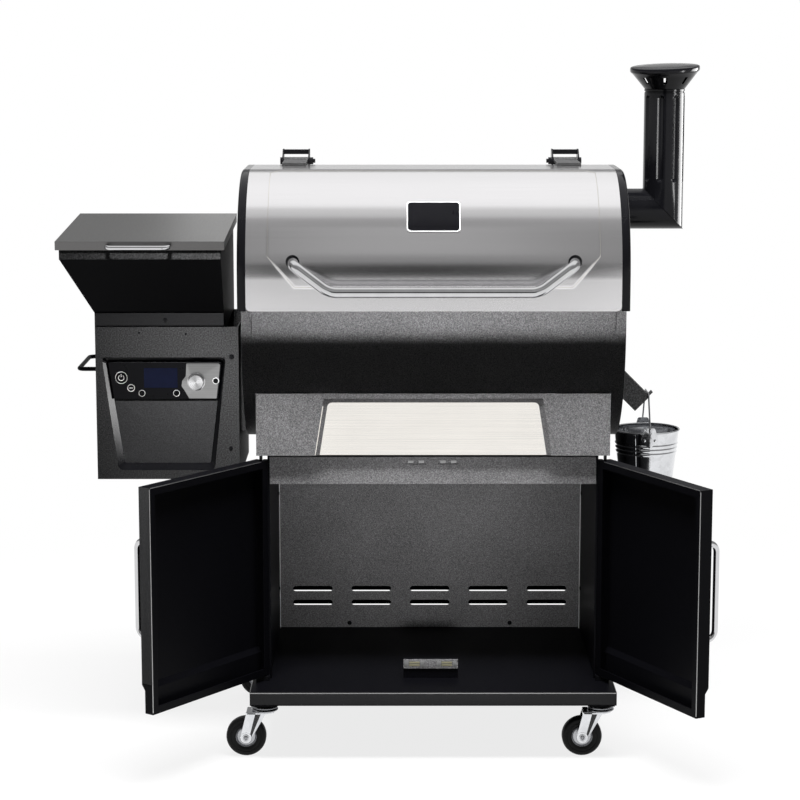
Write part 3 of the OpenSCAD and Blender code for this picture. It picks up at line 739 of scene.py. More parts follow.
def bent(points: Sequence[tuple], radii: Sequence[float], steps: int = 10) -> Array:
    """Rounds the corners of a line: each corner becomes an arc that touches both of its straight parts.

    Args:
        points: the corners, in two or three coordinates.
        radii: a radius for each inner corner.
        steps: points in one arc.

    Returns:
        The points of the rounded line.
    """
    pts = [np.array(p, float) for p in points]
    out = [pts[0][None]]
    for a, p, b, radius in zip(pts, pts[1:], pts[2:], radii):
        ua, ub = (a - p) / np.linalg.norm(a - p), (b - p) / np.linalg.norm(b - p)
        half = math.acos(float(np.clip(ua @ ub, -1, 1))) / 2
        reach = radius / math.tan(half)
        middle = p + (ua + ub) / np.linalg.norm(ua + ub) * radius / math.sin(half)
        turn = np.linspace(0, 1, steps)[:, None]
        start, stop = p + ua * reach - middle, p + ub * reach - middle
        sweep = math.pi - 2 * half
        bow = np.sin((1 - turn) * sweep) * start + np.sin(turn * sweep) * stop
        out.append(middle + bow / math.sin(sweep))
    out.append(pts[-1][None])
    return np.concatenate(out)


def rounded_loop(corners: Sequence[tuple], radii: Sequence[float], steps: int = 8) -> Array:
    """Returns a closed outline with rounded corners, starting in the middle of its last side."""
    start = tuple((np.array(corners[-1], float) + np.array(corners[0], float)) / 2)
    return bent([start, *corners, start], radii, steps)[:-1]


def rounded_box(across: Sequence[float], along: Sequence[float], radius: float, steps: int = 5) -> Array:
    """Returns the outline of a rectangle with rounded corners, from its two ends each way."""
    (x0, x1), (z0, z1) = across, along
    return rounded_loop([(x0, z0), (x1, z0), (x1, z1), (x0, z1)], (radius,) * 4, steps)


def raised(outline: Array, base: float, top: float, soft: float, axis: Axis = Axis.Y) -> Loft:
    """A flat shape with a rounded upper edge, closed at the back.

    The outline is carried from the base to the top, and drawn in along a quarter circle there.

    Args:
        outline: points across the axis.
        base: place of the back along the axis.
        top: place of the face along the axis.
        soft: radius of the rounded edge.
        axis: the direction the shape stands along.

    Returns:
        The closed surface.
    """
    u, v, w = axis.directions
    middle = outline.mean(axis=0)
    away = outline - middle
    size = np.abs(away).max(axis=0)
    turn = np.linspace(0, math.pi / 2, EDGE_STEPS)
    sign = math.copysign(1.0, top - base)
    inset = np.concatenate([[0.0], soft * (1 - np.cos(turn))])
    height = np.concatenate([[base], top - sign * soft * (1 - np.sin(turn))])
    shrink = 1 - inset[:, None] / size[None]
    flat = middle + away[None] * shrink[:, None]
    return closed(flat[..., :1] * u + flat[..., 1:] * v + height[:, None, None] * w)


@dataclass(frozen=True)
class PanHead:
    """The proportions of a pan head with a cross recess, as shares of its radius."""

    rings: tuple = (0.04, 0.14, 0.22, 0.34, 0.46, 0.56, 0.7, 0.86, 0.96, 1.0)
    steps: int = 24
    rise: float = 0.55
    roundness: float = 0.82
    arm_half: float = 0.16
    arm_slope: float = 0.06
    arm_reach: float = 0.6
    arm_end: float = 0.1
    pit: float = 0.3
    sunk_mm: float = 0.6


def screw(centre: Sequence[float], axis: Axis, outward: float, radius: float) -> Loft:
    """A pan head with a cross recess: a dome over radius and angle, less a cross-shaped pit.

    Args:
        centre: the middle of the seat.
        axis: the screw's direction.
        outward: +1 or -1, the way the head faces along the axis.
        radius: the head's radius.

    Returns:
        The closed surface.
    """
    head = PanHead()
    u, v, w = axis.directions
    share = np.array(head.rings)[:, None]
    angle = circle(head.steps)[None]
    dome = head.rise * radius * np.sqrt(np.clip(1 - head.roundness * share ** 2, 0, 1))
    arm = np.minimum(np.abs(share * np.sin(angle)), np.abs(share * np.cos(angle)))
    cross = np.clip((head.arm_half - arm) / head.arm_slope, 0, 1)
    height = dome - head.pit * radius * cross * np.clip((head.arm_reach - share) / head.arm_end, 0, 1)
    flat = radius * share
    rings = (flat * np.cos(angle))[..., None] * u + (flat * np.sin(angle))[..., None] * v
    rings = rings + outward * height[..., None] * w + np.array(centre, float)
    foot = rings[-1:] - outward * (height[-1:, :, None] + head.sunk_mm) * w
    return closed(np.concatenate([rings, foot]))


def screws(rows: Sequence[tuple]) -> list[Loft]:
    """Returns pan heads in rows: each an axis, the way they face, a radius, and places in x, y and z."""
    return [screw((x, y, z), axis, outward, radius)
            for axis, outward, radius, xs, ys, zs in rows for x in xs for y in ys for z in zs]


def to_object(name: str, lofts: Sequence[Loft]) -> bpy.types.Object:
    """Writes lofts into one mesh object at the origin, with seams and poles merged and faces turned outwards.

    Args:
        name: the object's name.
        lofts: its surfaces.

    Returns:
        The new object.
    """
    points, faces, base = [], [], 0
    for loft in lofts:
        points.append(to_frame(loft.rings.reshape(-1, 3)))
        faces.append(loft.quads() + base)
        base += len(points[-1])
    mesh = bpy.data.meshes.new(name)
    mesh.from_pydata(np.concatenate(points).tolist(), [], np.concatenate(faces).tolist())
    work = bmesh.new()
    work.from_mesh(mesh)
    bmesh.ops.remove_doubles(work, verts=work.verts, dist=MERGE_M)
    bmesh.ops.recalc_face_normals(work, faces=work.faces)
    work.to_mesh(mesh)
    work.free()
    mesh.polygons.foreach_set("use_smooth", np.ones(len(mesh.polygons), bool))
    mesh.set_sharp_from_angle(angle=SHARP_ANGLE)
    obj = bpy.data.objects.new(name, mesh)
    bpy.context.scene.collection.objects.link(obj)
    return obj


def piece(name: str, lofts: Sequence[Loft], coat: Coat, body: str, *stands_for: str) -> bpy.types.Object:
    """Makes a piece, paints it and hangs it on a body.

    Args:
        name: the piece's name.
        lofts: its surfaces.
        coat: its finish.
        body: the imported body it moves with.
        stands_for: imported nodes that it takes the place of.

    Returns:
        The new object.
    """
    obj = to_object(name, lofts)
    SHOP.paint(obj, coat)
    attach(obj, body)
    if stands_for:
        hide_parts(*stands_for)
    log.info("%s: %d faces on %s", name, len(obj.data.polygons), body)
    return obj


def dress(node: str, coat: Coat, edge_mm: float = 0.0) -> None:
    """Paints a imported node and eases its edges.

    Args:
        node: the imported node's name.
        coat: its finish.
        edge_mm: width of the eased edges, or 0 for none.
    """
    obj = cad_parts[node]
    SHOP.paint(obj, coat)
    if edge_mm:
        weld = obj.modifiers.new("weld", "WELD")
        weld.merge_threshold = WELD_M
        flat = obj.modifiers.new("flat", "DECIMATE")
        flat.decimate_type = "DISSOLVE"
        flat.angle_limit = FLAT_ANGLE
        ease = obj.modifiers.new("ease", "BEVEL")
        ease.width = edge_mm * MM
        ease.segments = BEVEL_STEPS
        ease.limit_method = "ANGLE"
        ease.angle_limit = BEVEL_ANGLE
        ease.harden_normals = True
    log.info("%s: packed node in %s", node, coat.name)


@dataclass
class Lid:
    """The barrel's stainless lid, with its raised panel, end caps, handle and bare plaque.

    Rows and columns are runs of points, as start, end and count, which lie closer where the panel bends.
    """

    front: float = -45.0
    rear: float = 455.0
    top: float = 1083.0
    corner: float = 185.0
    edge_z: float = 840.0
    end_y: float = 338.0
    end_z: float = 1060.0
    out: float = 4.0
    gauge: float = 2.0
    skin_half: float = 343.0
    corner_round: float = 9.0
    rise_steps: int = 12
    top_steps: int = 10
    dense: int = 400
    rows: tuple = ((0, 10, 8), (10, 34, 6), (34, 130, 49), (130, 250, 24), (250, 330, 34))
    last_row: tuple = (330, 26)
    columns: tuple = ((0, 236, 36), (238, 312, 38), (315, 343, 8))
    panel_half: float = 303.0
    panel_low_half: float = 254.0
    panel_low_z: float = 884.0
    panel_cut_z: float = 940.0
    panel_end_y: float = 112.0
    panel_chamfer: float = 14.0
    panel_lift: float = 0.4
    panel_step: float = 3.0
    bead_r: float = 0.6
    bead_bend: float = 5.0
    bead_steps: int = 700
    bead_up: tuple = (0.3, -0.7, 0.6)
    cap_half: float = 359.0
    cap_soft: float = 6.0
    cap_lip: float = 0.6
    cap_under: float = 2.0
    cap_face: float = -12.0
    cap_inside: tuple = ((2.5, -12.0), (2.5, -1.0), (6.0, 1.4))
    slant_steps: int = 14
    handle_r: float = 10.0
    handle_reach: float = 56.0
    handle_foot: tuple = (257.0, -46.0, 931.0)
    handle_elbow: tuple = (252.5, 13.0, 927.0)
    handle_bend: tuple = (190.0, 881.0)
    handle_radii: tuple = (16, 46, 46, 16)
    washer_y: float = -50.0
    washer: tuple = ((9.9, -1), (12.4, -1), (12.4, 0.8), (11.6, 1.4), (9.9, 1.4))
    plaque_z: float = 1010.0
    plaque_half: tuple = (49.0, 32.0)
    plaque_round: float = 6.0
    plaque_face: tuple = ((1.2, -0.5), (1.2, 1.7), (6, 1.7), (14, 1.7), (22, 1.7), (28, 1.7), (31, 1.7))
    plaque_rim: tuple = ((0, -0.6), (0, 1.9), (0.5, 2.5), (1.5, 2.5), (2.0, 1.9), (2.0, -0.6))

    def outline(self, grow: float, fine: int = 40) -> Array:
        """Draws the section: a straight rise, a quarter circle, a flat top and the start of the rear circle.

        Args:
            grow: how far the section is grown outwards.
            fine: points in the front circle.

        Returns:
            Pairs of y and z, from the lower front edge up and over to the rear edge.
        """
        r = self.corner + grow
        low, high = self.top - self.corner, self.top + grow
        y0, y1 = self.front + self.corner, self.rear - self.corner
        rise_z, flat_y = np.linspace(self.edge_z, low, self.rise_steps), np.linspace(y0, y1, self.top_steps)
        rise = np.stack([np.full_like(rise_z, self.front - grow), rise_z], -1)
        bow = arc((y0, low), r, np.linspace(math.pi, math.pi / 2, fine))
        flat = np.stack([flat_y, np.full_like(flat_y, high)], -1)
        last = math.acos((self.end_y - y1) / r)
        back = arc((y1, low), r, np.linspace(math.pi / 2, last, self.top_steps))
        return np.concatenate([rise, bow[1:], flat[1:], back[1:]])

    def run(self) -> tuple[Array, Array]:
        """Returns a dense outer outline and the distance along it of each point."""
        line = self.outline(self.out, self.dense)
        return line, distance(line)

    def at(self, x: Array, s: Array, lift: Array) -> Array:
        """Finds points on the lid.

        Args:
            x: places across the lid.
            s: distances along its section.
            lift: heights off its skin.

        Returns:
            The points.
        """
        line, far = self.run()
        slope = np.gradient(line, far, axis=0)
        y, z = (np.interp(s, far, line[:, i]) for i in (0, 1))
        ty, tz = (np.interp(s, far, slope[:, i]) for i in (0, 1))
        return np.stack([x + 0 * s, y - lift * tz, z + lift * ty], -1)

    def along(self, y: Optional[float] = None, z: Optional[float] = None) -> float:
        """Finds how far along the section it first reaches a height or a depth.

        Args:
            y: the depth, where no height is given.
            z: the height.

        Returns:
            The distance along the section.
        """
        line, far = self.run()
        if z is not None:
            rising = self.rise_steps + self.dense - 1
            return float(np.interp(z, line[:rising, 1], far[:rising]))
        return float(np.interp(y, line[self.rise_steps:, 0], far[self.rise_steps:]))

    def panel_ends(self) -> tuple[float, float, float]:
        """Returns how far along the section the panel starts, reaches its full width and ends."""
        return self.along(z=self.panel_low_z), self.along(z=self.panel_cut_z), self.along(y=self.panel_end_y)

    def panel(self, x: Array, s: Array) -> Array:
        """Works out the raised panel: a smooth step on the distance to its eight-sided outline.

        Args:
            x: places across the lid.
            s: distances along its section.

        Returns:
            The panel's height at each place.
        """
        low, cut, end = self.panel_ends()
        run, rise = self.panel_half - self.panel_low_half, cut - low
        size = math.hypot(run, rise)
        sides = np.stack([
            np.abs(x) - self.panel_half + 0 * s,
            low - s + 0 * x,
            s - end + 0 * x,
            ((np.abs(x) - self.panel_low_half) * rise - (s - low) * run) / size,
            (np.abs(x) - self.panel_half + self.panel_chamfer) * DIAGONAL + (s - end) * DIAGONAL,
        ])
        share = np.clip(0.5 - sides.max(axis=0) / self.panel_step, 0, 1)
        return self.panel_lift * share * share * (3 - 2 * share)

    def bead(self) -> Loft:
        """A painted highlight on the bend round the raised panel: a fine bright wire along its eight-sided
        outline, on the skin.

        Returns:
            The closed surface.
        """
        low, cut, end = self.panel_ends()
        wide = self.panel_half
        half = [(self.panel_low_half, low), (wide, cut), (wide, end - self.panel_chamfer),
                (wide - self.panel_chamfer, end)]
        corners = [(-x, s) for x, s in half[:1]] + half + [(-x, s) for x, s in half[:0:-1]]
        loop = rounded_loop(corners, (self.bead_bend,) * len(corners), 6)
        loop = np.concatenate([loop, loop[:1]])
        far = distance(loop)
        steps = np.linspace(0, far[-1], self.bead_steps)
        x, s = (np.interp(steps, far, loop[:, i]) for i in (0, 1))
        return tube(self.at(x, s, self.panel_lift / 2 + 0 * x), self.bead_r, self.bead_up, 8)

    def skin(self) -> Loft:
        """The stainless sheet: outer face with the panel, inner face a gauge below, edges closed.

        Returns:
            The closed surface.
        """
        start, count = self.last_row
        last = np.linspace(start, self.run()[1][-1], count)
        s = np.unique(np.concatenate([*(np.linspace(*row) for row in self.rows), last]))
        half = np.concatenate([np.linspace(*column) for column in self.columns])
        t = np.concatenate([-half[:0:-1], half]) / self.skin_half
        r = self.corner_round
        inset = r - np.sqrt(np.clip(r ** 2 - np.clip(r - s, 0, None) ** 2, 0, None))
        x = t[:, None] * (self.skin_half - inset)[None]
        lift = self.panel(x, s[None])
        outer = self.at(x, s[None] + 0 * x, lift)
        inner = self.at(x, s[None] + 0 * x, lift - self.gauge)
        rings = np.concatenate([outer, inner[:, ::-1]], axis=1)
        middle = (outer + inner) / 2
        seam = np.concatenate([middle, middle[:, ::-1]], axis=1)
        return Loft(np.concatenate([seam[:1], rings, seam[-1:]]))

    def cap_ring(self, x: float, grow: float) -> Array:
        """Draws the closed edge of an end cap: the section and the slanted line back to its start.

        Args:
            x: place across the lid.
            grow: how far the section is grown outwards.

        Returns:
            The points of the edge.
        """
        start = np.array([self.end_y, self.end_z])
        foot = np.array([self.front - min(grow, self.out), self.edge_z])
        back = start + (foot - start) * np.linspace(0, 1, self.slant_steps)[1:-1, None]
        loop = np.concatenate([self.outline(grow), start[None], back])
        return np.concatenate([np.full((len(loop), 1), x), loop], axis=1)

    def cap(self, side: float) -> Loft:
        """One end cap: a lip over the skin's end, a rounded rim and a flat face, hollow inside.

        Args:
            side: -1 for the left cap, +1 for the right one.

        Returns:
            The closed surface.
        """
        rim = arc((self.cap_half - self.cap_soft, self.out - self.cap_soft), self.cap_soft,
                  np.linspace(math.pi / 2, 0, 7))
        steps = [(self.skin_half, self.cap_under), (self.skin_half, self.out - self.cap_lip),
                 (self.skin_half + self.cap_lip, self.out), *rim, (self.cap_half, self.cap_face)]
        outer = np.stack([self.cap_ring(side * x, grow) for x, grow in steps])
        inside = [(self.cap_half - deep, grow) for deep, grow in self.cap_inside]
        inner = np.stack([self.cap_ring(side * x, grow) for x, grow in inside])
        hub = outer[-1:].mean(axis=1, keepdims=True) + 0 * outer[-1:]
        back = inner[:1].mean(axis=1, keepdims=True) + 0 * inner[:1]
        return Loft(np.concatenate([outer, hub, back, inner]), loop=True)

    def handle(self) -> tuple[Loft, list[Loft]]:
        """The bowed tube, which follows a line with rounded corners, and its two washers on the lid.

        Returns:
            The tube, then the washers.
        """
        y = self.front - self.out - self.handle_reach
        elbow_x, elbow_in, elbow_z = self.handle_elbow
        bend_x, bend_z = self.handle_bend
        half = [self.handle_foot, (elbow_x, y + elbow_in, elbow_z), (bend_x, y, bend_z)]
        path = bent([(-a, b, c) for a, b, c in half] + half[::-1], self.handle_radii, 14)
        foot_x, _, foot_z = self.handle_foot
        seats = [(side * foot_x, self.washer_y, foot_z) for side in SIDES]
        return (tube(path, self.handle_r, (0, 0.2, 1), 28),
                [lathe(self.washer, seat, Axis.Y, 32) for seat in seats])

    def plaque(self) -> tuple[Loft, Loft]:
        """The bare plaque: rings of a rounded rectangle laid on the skin, and its bright rim.

        Returns:
            The face, then the rim.
        """
        middle = self.along(z=self.plaque_z)
        half = np.array(self.plaque_half)
        edge = rounded_box(*np.outer(half, SIDES), self.plaque_round, 8)

        def ring(inset: float, lift: float) -> Array:
            """Returns the plaque's outline drawn in and lifted off the raised panel."""
            loop = edge * (1 - inset / half)
            return self.at(loop[:, 0], middle + loop[:, 1], self.panel_lift + lift + 0 * loop[:, 0])

        face, rim = (np.stack([ring(*row) for row in rows]) for rows in (self.plaque_face, self.plaque_rim))
        return closed(face), Loft(rim, loop=True)

    def build(self) -> None:
        """Makes and dresses every piece of the lid."""
        piece("lid_skin", [self.skin()], Coat.LID_STEEL, "lid", "lid_shell")
        # painted highlight: a brighter steel wire along the panel's bend stands in for the light the bend
        # catches
        piece("panel_bend_highlight", [self.bead()], Coat.PLATE_STEEL, "lid")
        piece("lid_caps", [self.cap(side) for side in SIDES], Coat.ENAMEL, "lid", "lid_end_caps")
        bar, washers = self.handle()
        piece("lid_bar", [bar], Coat.CHROME, "lid", "lid_handle")
        piece("lid_bar_washers", washers, Coat.SCREW, "lid")
        face, rim = self.plaque()
        piece("plaque_face", [face], Coat.PLASTIC, "lid")
        piece("plaque_rim", [rim], Coat.MARK, "lid")
        dress("lid_hinge_knuckles", Coat.HOPPER_POWDER, 0.8)
        dress("lid_hinge_brackets", Coat.SCREW, 0.6)


@dataclass
class Barrel:
    """The lower barrel and what lies inside it."""

    rear_middle: tuple = (270.0, 898.0)
    rear_r: float = 185.0
    rear_deg: float = 66.0
    heel_middle: tuple = (230.0, 802.0)
    toe_middle: tuple = (180.0, 802.0)
    low_r: float = 225.0
    front_z: tuple = (812.0, 858.0)
    rear_steps: int = 40
    low_steps: int = 48
    front_steps: int = 6
    along_steps: int = 21
    skin_half: float = 332.5
    rim_from: float = 333.6
    rim_to: float = 351.6
    rim_out: float = 1.5
    coat_mm: float = 0.25
    wire: float = 2.5
    grate_x: tuple = (3.5, 342.5)
    grate_y: tuple = (-36.5, 446.5)
    grate_z: float = 820.5
    grate_bars: tuple = (18, 4)
    rack_x: tuple = (-297.5, 297.5)
    rack_y: tuple = (237.5, 412.5)
    rack_z: float = 957.5
    rack_bars: tuple = (29, 3)
    leg_z: tuple = (823.0, 957.0)

    def section(self, grow: float) -> Array:
        """Draws the lower barrel's section: three circles' arcs and a straight front.

        Args:
            grow: how far the section is grown outwards.

        Returns:
            Pairs of y and z, from the rear top edge down and round to the front.
        """
        rear = np.linspace(math.radians(self.rear_deg), 0, self.rear_steps)
        heel = np.linspace(0, -math.pi / 2, self.low_steps)
        toe = np.linspace(-math.pi / 2, -math.pi, self.low_steps)
        front_z = np.linspace(*self.front_z, self.front_steps)
        front_y = np.full_like(front_z, self.toe_middle[0] - self.low_r - grow)
        return np.concatenate([arc(self.rear_middle, self.rear_r + grow, rear),
                               arc(self.heel_middle, self.low_r + grow, heel),
                               arc(self.toe_middle, self.low_r + grow, toe),
                               np.stack([front_y, front_z], -1)])

    def skin(self, x0: float, x1: float, grow: float) -> Loft:
        """A sprayed face: the section drawn along x, with a back just under it and closed edges.

        Args:
            x0: the left edge.
            x1: the right edge.
            grow: how far the face stands off the section.

        Returns:
            The closed surface.
        """
        x = np.linspace(x0, x1, self.along_steps)
        x = np.concatenate([x[:1], x, x[-1:]])[:, None, None]
        outer, inner = self.section(grow + self.coat_mm), self.section(grow - self.coat_mm)
        middle = (outer + inner) / 2
        ring = np.concatenate([outer, inner[::-1]])
        seam = np.concatenate([middle, middle[::-1]])[None]
        lines = np.concatenate([seam, np.broadcast_to(ring, (self.along_steps, *ring.shape)), seam])
        return Loft(np.concatenate([x + 0 * lines[..., :1], lines], axis=-1))

    def bars(self, across: Sequence[float], along: Sequence[float], z: float, counts: tuple) -> list[Loft]:
        """Round bars from front to back, and cross bars between them.

        Args:
            across: the two ends in x.
            along: the two ends in y.
            z: the height of the bars' middles.
            counts: how many bars run from front to back, and how many across.

        Returns:
            The bars.
        """
        (x0, x1), (y0, y1) = across, along
        long = [rod((x, y0, z), (x, y1, z), self.wire, UP) for x in np.linspace(x0, x1, counts[0])]
        wide = [rod((x0, y, z), (x1, y, z), self.wire, UP) for y in np.linspace(y0, y1, counts[1])]
        return long + wide

    def build(self) -> None:
        """Makes the round-wire grates and the sprayed face, and dresses the barrel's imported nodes."""
        near, far = self.grate_x
        ends = ((-far, -near), (near, far))
        left, right = (self.bars(x, self.grate_y, self.grate_z, self.grate_bars) for x in ends)
        piece("grate_bars", left + right, Coat.GRATE, "cart", "cooking_grate")
        foot, head = self.leg_z
        legs = [rod((x, y, foot), (x, y, head), self.wire, (1, 0, 0), 10)
                for x in self.rack_x for y in self.rack_y]
        rack = self.bars(self.rack_x, self.rack_y, self.rack_z, self.rack_bars) + legs
        piece("rack_bars", rack, Coat.CHROME, "cart", "warming_rack")
        faces = [self.skin(-self.skin_half, self.skin_half, 0.0),
                 self.skin(-self.rim_to, -self.rim_from, self.rim_out),
                 self.skin(self.rim_from, self.rim_to, self.rim_out)]
        piece("barrel_skin", faces, Coat.POWDER, "cart")
        for node in ("barrel_shell", "barrel_left_end", "barrel_right_end"):
            dress(node, Coat.POWDER, 0.7)
        dress("drip_tray", Coat.GRATE, 0.7)
        dress("heat_baffle", Coat.FIRE, 0.7)
        dress("fire_pot", Coat.FIRE)


@dataclass
class Chimney:
    """The fluted smoke pipe with its mitred elbow.

    The flange's rows are a distance from the barrel's end and a height over the pipe, the groove's are a
    drop below the pipe's end and a depth, and the cap's are a radius and a height over the pipe's end.
    """

    x: float = 457.0
    y: float = 330.0
    z: float = 997.0
    radius: float = 39.5
    wall: float = 5.0
    start_x: float = 352.0
    top: float = 1232.0
    steps: int = 192
    flange: tuple = ((0.0, 8.5), (2.2, 8.5), (3.0, 7.5), (3.0, 1.2), (4.2, 0.0))
    elbow_run: float = 60.0
    elbow_rise: float = 44.0
    groove: tuple = ((8, 0.0), (7, 1.4), (5.5, 1.4), (4.5, 0.0), (1, 0.0), (0, 1.0))
    seam_r: float = 0.7
    seam_out: float = 0.1
    flutes: int = 8
    first: float = -106.0
    flute_half: float = 6.2
    flute_depth: float = 4.6
    flute_low: float = 1052.0
    flute_high: float = 1219.0
    flute_middle: tuple = (1075, 1195, 7)
    flute_end: tuple = (2, 8, 9)
    slots: int = 8
    first_slot: float = -95.0
    slot_half_deg: float = 3.7
    slot_low: float = 10.0
    slot_high: float = 24.0
    cone_r: float = 64.0
    cone_z: float = 31.2
    sheet: float = 2.6
    crown_under: tuple = ((0.3, 41.0), (40.0, 40.8), (62.0, 40.0))
    crown_over: tuple = ((64.0, 31.2), (66.6, 33.2), (68.0, 35.6), (68.0, 40.4), (67.0, 42.6), (64.6, 43.6),
                         (40.0, 44.2), (0.3, 44.4))
    lean_z: float = 34.0
    lean_right: float = 0.038
    lean_back: float = 0.06

    def level(self, angle: Array, x: float, r: float) -> Array:
        """Returns a ring of the level run at x."""
        return np.stack([np.full_like(angle, x), self.y + r * np.cos(angle), self.z + r * np.sin(angle)], -1)

    def mitre(self, angle: Array, r: float) -> Array:
        """Returns the ring on the elbow's slanted joint, where both runs meet."""
        over = r * np.sin(angle)
        return np.stack([self.x - over, self.y + r * np.cos(angle), self.z + over], -1)

    def rise(self, angle: Array, z: float, r: Union[float, Array]) -> Array:
        """Returns a ring of the upright run at z, with one radius or one for each angle."""
        return np.stack([self.x - r * np.sin(angle), self.y + r * np.cos(angle), np.full_like(angle, z)], -1)

    def fluted(self, angle: Array, z: float) -> Array:
        """Works out the fluted pipe: its radius less rounded grooves, which fade to round ends.

        Args:
            angle: the angles round the pipe.
            z: the height.

        Returns:
            The radius at each angle.
        """
        turn = np.degrees(np.arctan2(np.cos(angle), -np.sin(angle)))
        pitch = 360.0 / self.flutes
        off = (turn - self.first + pitch / 2) % pitch - pitch / 2
        across = np.radians(off) * self.radius
        half = self.flute_half
        past = max(self.flute_low + half - z, z - self.flute_high + half, 0.0)
        depth = np.sqrt(np.clip(1 - (across / half) ** 2 - (past / half) ** 2, 0, 1))
        return self.radius - self.flute_depth * depth

    def leaned(self, profile: Array, angle: Array) -> Array:
        """Places points of the cap: it leans to the front and left, and more so towards its rim.

        Args:
            profile: radii and heights, in an array that spreads over the angles.
            angle: the angles.

        Returns:
            The points.
        """
        radius, z = profile[..., 0], profile[..., 1] + 0 * angle
        x, y = radius * np.cos(angle), radius * np.sin(angle)
        lean = np.clip(z / self.lean_z, 0, 1) * (self.lean_right * x + self.lean_back * y)
        return np.stack([self.x + x, self.y + y, self.top + z + lean], -1)

    def cone(self, z: float) -> tuple[tuple, tuple]:
        """Returns the flared cap's outer and inner point at a height over the pipe's end."""
        outer = self.radius + (self.cone_r - self.radius) * z / self.cone_z
        return (outer, z), (outer - self.sheet, z)

    def cap(self) -> list[Loft]:
        """The flared cap: a neck ring, staves between slots, and a crown with a rolled rim and a flat top.

        Returns:
            The closed surfaces.
        """
        full = circle(96)[None]
        (foot, foot_in), (low, low_in) = self.cone(0.0), self.cone(self.slot_low)
        high, high_in = self.cone(self.slot_high)
        neck = np.array([foot, low, low_in, foot_in])
        crown = np.array([*self.crown_under, self.cone(self.cone_z)[1], high_in, high, *self.crown_over])
        parts = [Loft(self.leaned(neck[:, None], full), loop=True), closed(self.leaned(crown[:, None], full))]
        stave = np.array([low, high, high_in, low_in])[None]
        pitch, half = 360.0 / self.slots, self.slot_half_deg
        for start in self.first_slot + pitch * np.arange(self.slots):
            turn = np.radians(np.linspace(start + half, start + pitch - half, 10))[:, None]
            parts.append(closed(self.leaned(stave, turn)))
        return parts

    def tube(self, angle: Array) -> Loft:
        """The pipe: rings along the level run, over the elbow, up the flutes and down its inside.

        Args:
            angle: the angles round the pipe.

        Returns:
            The closed surface.
        """
        r, inner = self.radius, self.radius - self.wall
        past, into, count = self.flute_end
        heights = np.concatenate([[self.z + self.elbow_rise],
                                  np.linspace(self.flute_low - past, self.flute_low + into, count),
                                  np.linspace(*self.flute_middle),
                                  np.linspace(self.flute_high - into, self.flute_high + past, count)])
        rings = [self.level(angle, self.start_x, inner)]
        rings += [self.level(angle, self.start_x + along, r + over) for along, over in self.flange]
        rings += [self.level(angle, self.x - self.elbow_run, r), self.mitre(angle, r)]
        rings += [self.rise(angle, z, self.fluted(angle, z)) for z in heights]
        rings += [self.rise(angle, self.top - drop, r - deep) for drop, deep in self.groove]
        rings += [self.rise(angle, self.top, inner), self.mitre(angle, inner)]
        return Loft(np.stack(rings), loop=True)

    def build(self) -> None:
        """Makes the pipe, its joint line and the cap."""
        angle = circle(self.steps)
        piece("chimney_tube", [self.tube(angle)], Coat.ENAMEL, "cart", "chimney_pipe")
        seam = tube(self.mitre(angle, self.radius + self.seam_out), self.seam_r, (1, 0, 1), 8)
        piece("chimney_joint", [seam], Coat.ENAMEL, "cart")
        piece("cap_cone", self.cap(), Coat.ENAMEL, "cart", "chimney_cap")


